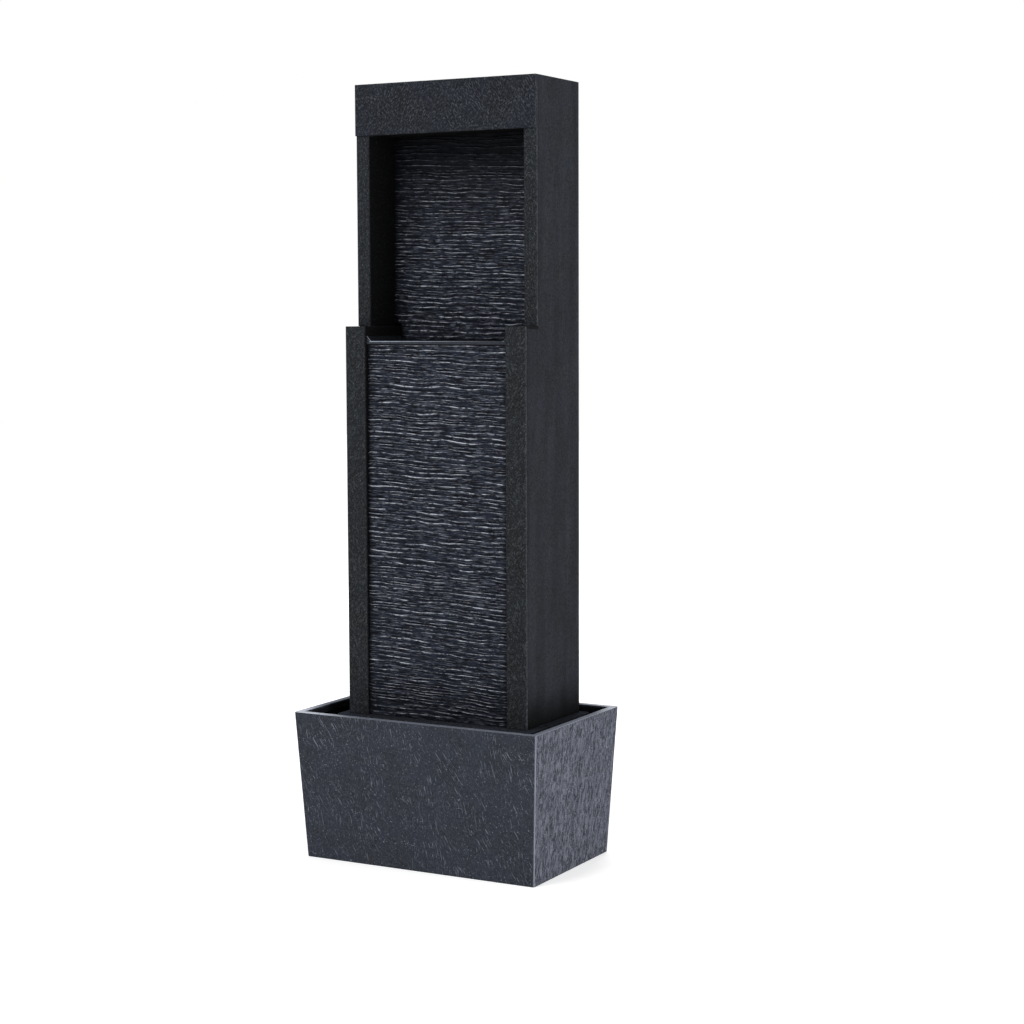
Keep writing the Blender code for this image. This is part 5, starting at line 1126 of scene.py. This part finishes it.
# Node, beds, depth of the face at its foot and top, notch, relief, and the bands of painted shade at foot
# and top
ROCK_PANELS = [
    ("upper_rock_panel", 53, 0.0350, 0.0397, SHOULDER_NOTCH, 2.2 * MM, (10 * MM, 150 * MM)),
    ("lower_rock_panel", 93, -0.0485, -0.0450, NO_NOTCH, 2.4 * MM, (60 * MM, 1 * MM)),
]


def slope(node, foot, top):
    """The plane of a rock face, from its depth at the foot to its depth at the top."""
    low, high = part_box(node)
    return lambda height: foot + (top - foot) * (height - low.z) / (high.z - low.z)


for seed, (node, beds, foot, top, notch, relief, shade) in enumerate(ROCK_PANELS, start=1):
    blank, bed = panel_blank(node, beds, slope(node, foot, top), notch, shade)
    mesh = settle(blank, ROCK_TREE, {
        "Bed": bed, "Relief": relief, "Wander": WANDER, "Seed": ROCK_SEED_STEP * seed, "Material": ROCK,
    })
    add_piece(node + "_beds", soften(mesh, ROCK_SMOOTH), node)

# %% [markdown]
# ## The spill ledge
#
# The shelf between the two faces ends in a rounded lip. The lip's upper edge carries a painted
# highlight, the brightest line on the fountain, a little brighter at its left, and its front face a weaker
# one; the rest of the shelf is nearly black. It has its own slate finish, whose very pale colour on that
# edge is the painted highlight.

# %% Ledge
LIP_FACE = 0.1 * MM
LIP_ROUNDING = 1.0 * MM
LIP_HEIGHT = 3.0 * MM
FACE_HIGHLIGHT = 0.585
LIP_HIGHLIGHT, LEFT_HIGHLIGHT, UNEVEN_HIGHLIGHT = 0.86, 0.16, 0.12
LEFT_END = (-105 * MM, -35 * MM)
LIP_PATCH = 14 * MM
LEDGE_SEED = 31.0
# Painted highlight: the ledge slate's pale colour, thirty times its pale tone, paints the lip's bright edge.
LEDGE_SLATE, _, _ = make_slate(
    "ledge slate", (0.003, 0.0036, 0.0048), (0.0112, 0.0124, 0.0150), ((1.0, 0.1, 0.0), (1.0, -0.1, 0.0)),
    crease=0.02, scratch=0.01, fleck=0.01, edge=1.3, relief=0.30 * MM, even_rub=1.0, pale_factor=30.0
)


def lip_highlight(x):
    """How strong the lip's painted highlight is at a place along it: fully at its left, unevenly further
    along.
    """
    at_left = 1.0 - ramp(x, *LEFT_END)
    uneven = noise_3d.noise(Vector((x / LIP_PATCH, 0.0, 0.0)))
    return max(0.0, min(1.0, LIP_HIGHLIGHT + LEFT_HIGHLIGHT * at_left + UNEVEN_HIGHLIGHT * uneven))


def paint_lip_highlight(mesh, low):
    """Paint the highlight only on the lip: a little on its face, and most of it on its rounded upper edge.
    """
    layer = mesh.attributes["wear_and_sheen"].data
    for index, vert in enumerate(mesh.vertices):
        depth = vert.co.y - low.y
        on_edge = depth < LIP_ROUNDING and vert.co.z > low.z + LIP_HEIGHT
        wear_and_sheen = lip_highlight(vert.co.x) if on_edge else 0.0
        layer[index].value = FACE_HIGHLIGHT if depth < LIP_FACE else wear_and_sheen


ledge_blank = worn_copy("spill_ledge", 0.3 * MM, 3.0 * MM)
paint_lip_highlight(ledge_blank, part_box("spill_ledge")[0])
ledge_mesh = settle(ledge_blank, HAMMER, {
    "Depth": 0.3 * MM, "Size": 6 * MM, "Seed": LEDGE_SEED, "Material": LEDGE_SLATE,
})
add_piece("spill_ledge_lip", ledge_mesh, "spill_ledge")

# %% [markdown]
# ## Cells on the solar panel
#
# The panel carries a grid of cut cells, each with fine silver fingers, and one thicker bus bar
# across each row gathers their current. Geometry Nodes lay them all out as boxes on a grid of
# points. The sheet underneath stays as packed.

# %% Solar cells
CELL_COLUMNS, CELL_ROWS, FINGERS = 8, 4, 10
CELL_GAP = 1.2 * MM
EDGE_GAP = 3.0 * MM
CELL_THICK = 0.12 * MM
FINGER_WIDTH, FINGER_THICK = 0.12 * MM, 0.05 * MM
BUS_WIDTH, BUS_THICK = 0.6 * MM, 0.06 * MM


def make_grid_tree():
    """Boxes of one size on a grid of points, centred on the piece's own place."""
    tree, given = new_tree(
        "boxes on a grid", Float=["Across", "Deep"], Int=["Columns", "Rows"], Vector=["Size", "Centre"]
    )
    points = add_node(tree, "GeometryNodeMeshGrid", {
        "Size X": given["Across"], "Size Y": given["Deep"],
        "Vertices X": given["Columns"], "Vertices Y": given["Rows"],
    }).outputs[0]
    box = add_node(tree, "GeometryNodeMeshCube", {"Size": given["Size"]}).outputs[0]
    laid = add_node(tree, "GeometryNodeInstanceOnPoints", {"Points": points, "Instance": box}).outputs[0]
    moved = add_node(tree, "GeometryNodeTransform", {"Geometry": laid, "Translation": given["Centre"]})
    return end_tree(tree, moved.outputs[0], given["Material"])


def make_cells():
    """Cells, fingers and bus bars on the sheet."""
    grid_tree = make_grid_tree()
    low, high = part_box("solar_cells")
    middle = (low + high) / 2
    room_x, room_y = high.x - low.x - 2 * EDGE_GAP, high.y - low.y - 2 * EDGE_GAP
    pitch_x, pitch_y = room_x / CELL_COLUMNS, room_y / CELL_ROWS
    cell_size = (pitch_x - CELL_GAP, pitch_y - CELL_GAP, CELL_THICK)
    finger_size = (FINGER_WIDTH, pitch_y - 2 * CELL_GAP, FINGER_THICK)
    bus_size = (room_x - CELL_GAP, BUS_WIDTH, BUS_THICK)
    cell_z = high.z + CELL_THICK / 2
    bar_z = high.z + CELL_THICK + FINGER_THICK / 2
    grids = {
        "solar_tiles": (CELL_COLUMNS, cell_size, cell_z, SILICON),
        "solar_fingers": (CELL_COLUMNS * FINGERS, finger_size, bar_z, SILVER),
        "solar_bus_bars": (1, bus_size, bar_z, SILVER),
    }
    for name, (columns, size, height, material) in grids.items():
        mesh = settle(bpy.data.meshes.new(name + "_blank"), grid_tree, {
            "Across": room_x - room_x / columns, "Deep": room_y - pitch_y,
            "Columns": columns, "Rows": CELL_ROWS, "Size": size,
            "Centre": (middle.x, middle.y, height), "Material": material,
        })
        add_piece(name, mesh, None)


make_cells()

# %% [markdown]
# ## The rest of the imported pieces
#
# Round mouldings look faceted when they are shaded flat, so they are copied with soft edges and
# smooth shading. Flat pieces that are already right stay as packed and only take a finish.

# %% Copies and finishes of the works
# Material, slot, and each node's edge radius in millimetres
ROUND_NODES = [
    (PUMP_PLASTIC, "pump_plastic", {"pump_body": 0.4, "pump_cover": 0.3, "pump_strainer": 0.3}),
    (ROTOR_PLASTIC, "rotor_plastic", {"pump_impeller": 0.2, "flow_dial": 0.3}),
    (HOSE, "hose_pvc", {"supply_hose": 0.2}),
    (INNER_PLASTIC, "inner_plastic", {"latch_knob": 0.4, "button_housing": 0.4}),
    (BUTTON, "button", {"power_button": 0.3}),
    (STEEL, "steel", {
        "hinge_pin_lower": 0.2, "hinge_pin_upper": 0.2, "hose_clamp_pump": 0.15, "hose_clamp_trough": 0.15,
        "latch_cam": 0.2, "button_nut": 0.3,
    }),
    (INNER_PLASTIC, "inner_plastic", {"water_trough": 0.3, "top_cover": 0.4}),
    (CASING_SLATE, "tower_slate", {"access_door": 0.4}),
]
KEPT_NODES = {
    "pump_shaft": CERAMIC, "solar_cells": BACK_SHEET, "solar_glass": PANEL_GLASS, "control_board": BOARD,
    "battery_box": INNER_PLASTIC, "battery_box_lid": INNER_PLASTIC,
    "battery_cell_1": CELL_WRAP, "battery_cell_2": CELL_WRAP,
    "pump_lead": RUBBER, "solar_lead": RUBBER, "switch_lead": RUBBER,
    "hose_clip_1": INNER_PLASTIC, "hose_clip_2": INNER_PLASTIC,
}
for number in range(1, 5):
    KEPT_NODES[f"pump_foot_{number}"] = RUBBER
for number in range(1, 4):
    KEPT_NODES[f"lead_clip_{number}"] = INNER_PLASTIC


def body_of_node(node):
    """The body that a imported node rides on."""
    groups = frame["record"]["behaviour"]["bodies"]
    return next(body for body, members in groups.items() if node in members)


for material, slot, radii in ROUND_NODES:
    for node, radius in radii.items():
        mesh = worn_copy(node, radius * MM)
        mesh.materials.clear()
        mesh.materials.append(material)
        add_piece(node + "_soft", mesh, node, body_of_node(node))
for node, material in KEPT_NODES.items():
    for holder in frame["nodes"][node].material_slots:
        holder.material = material
print("shown as packed:", len(KEPT_NODES), "of", len(frame["nodes"]), "nodes")

# %% [markdown]
# ## Finish
#
# The last line brings the scene up to date.

# %% Finish
bpy.context.view_layer.update()
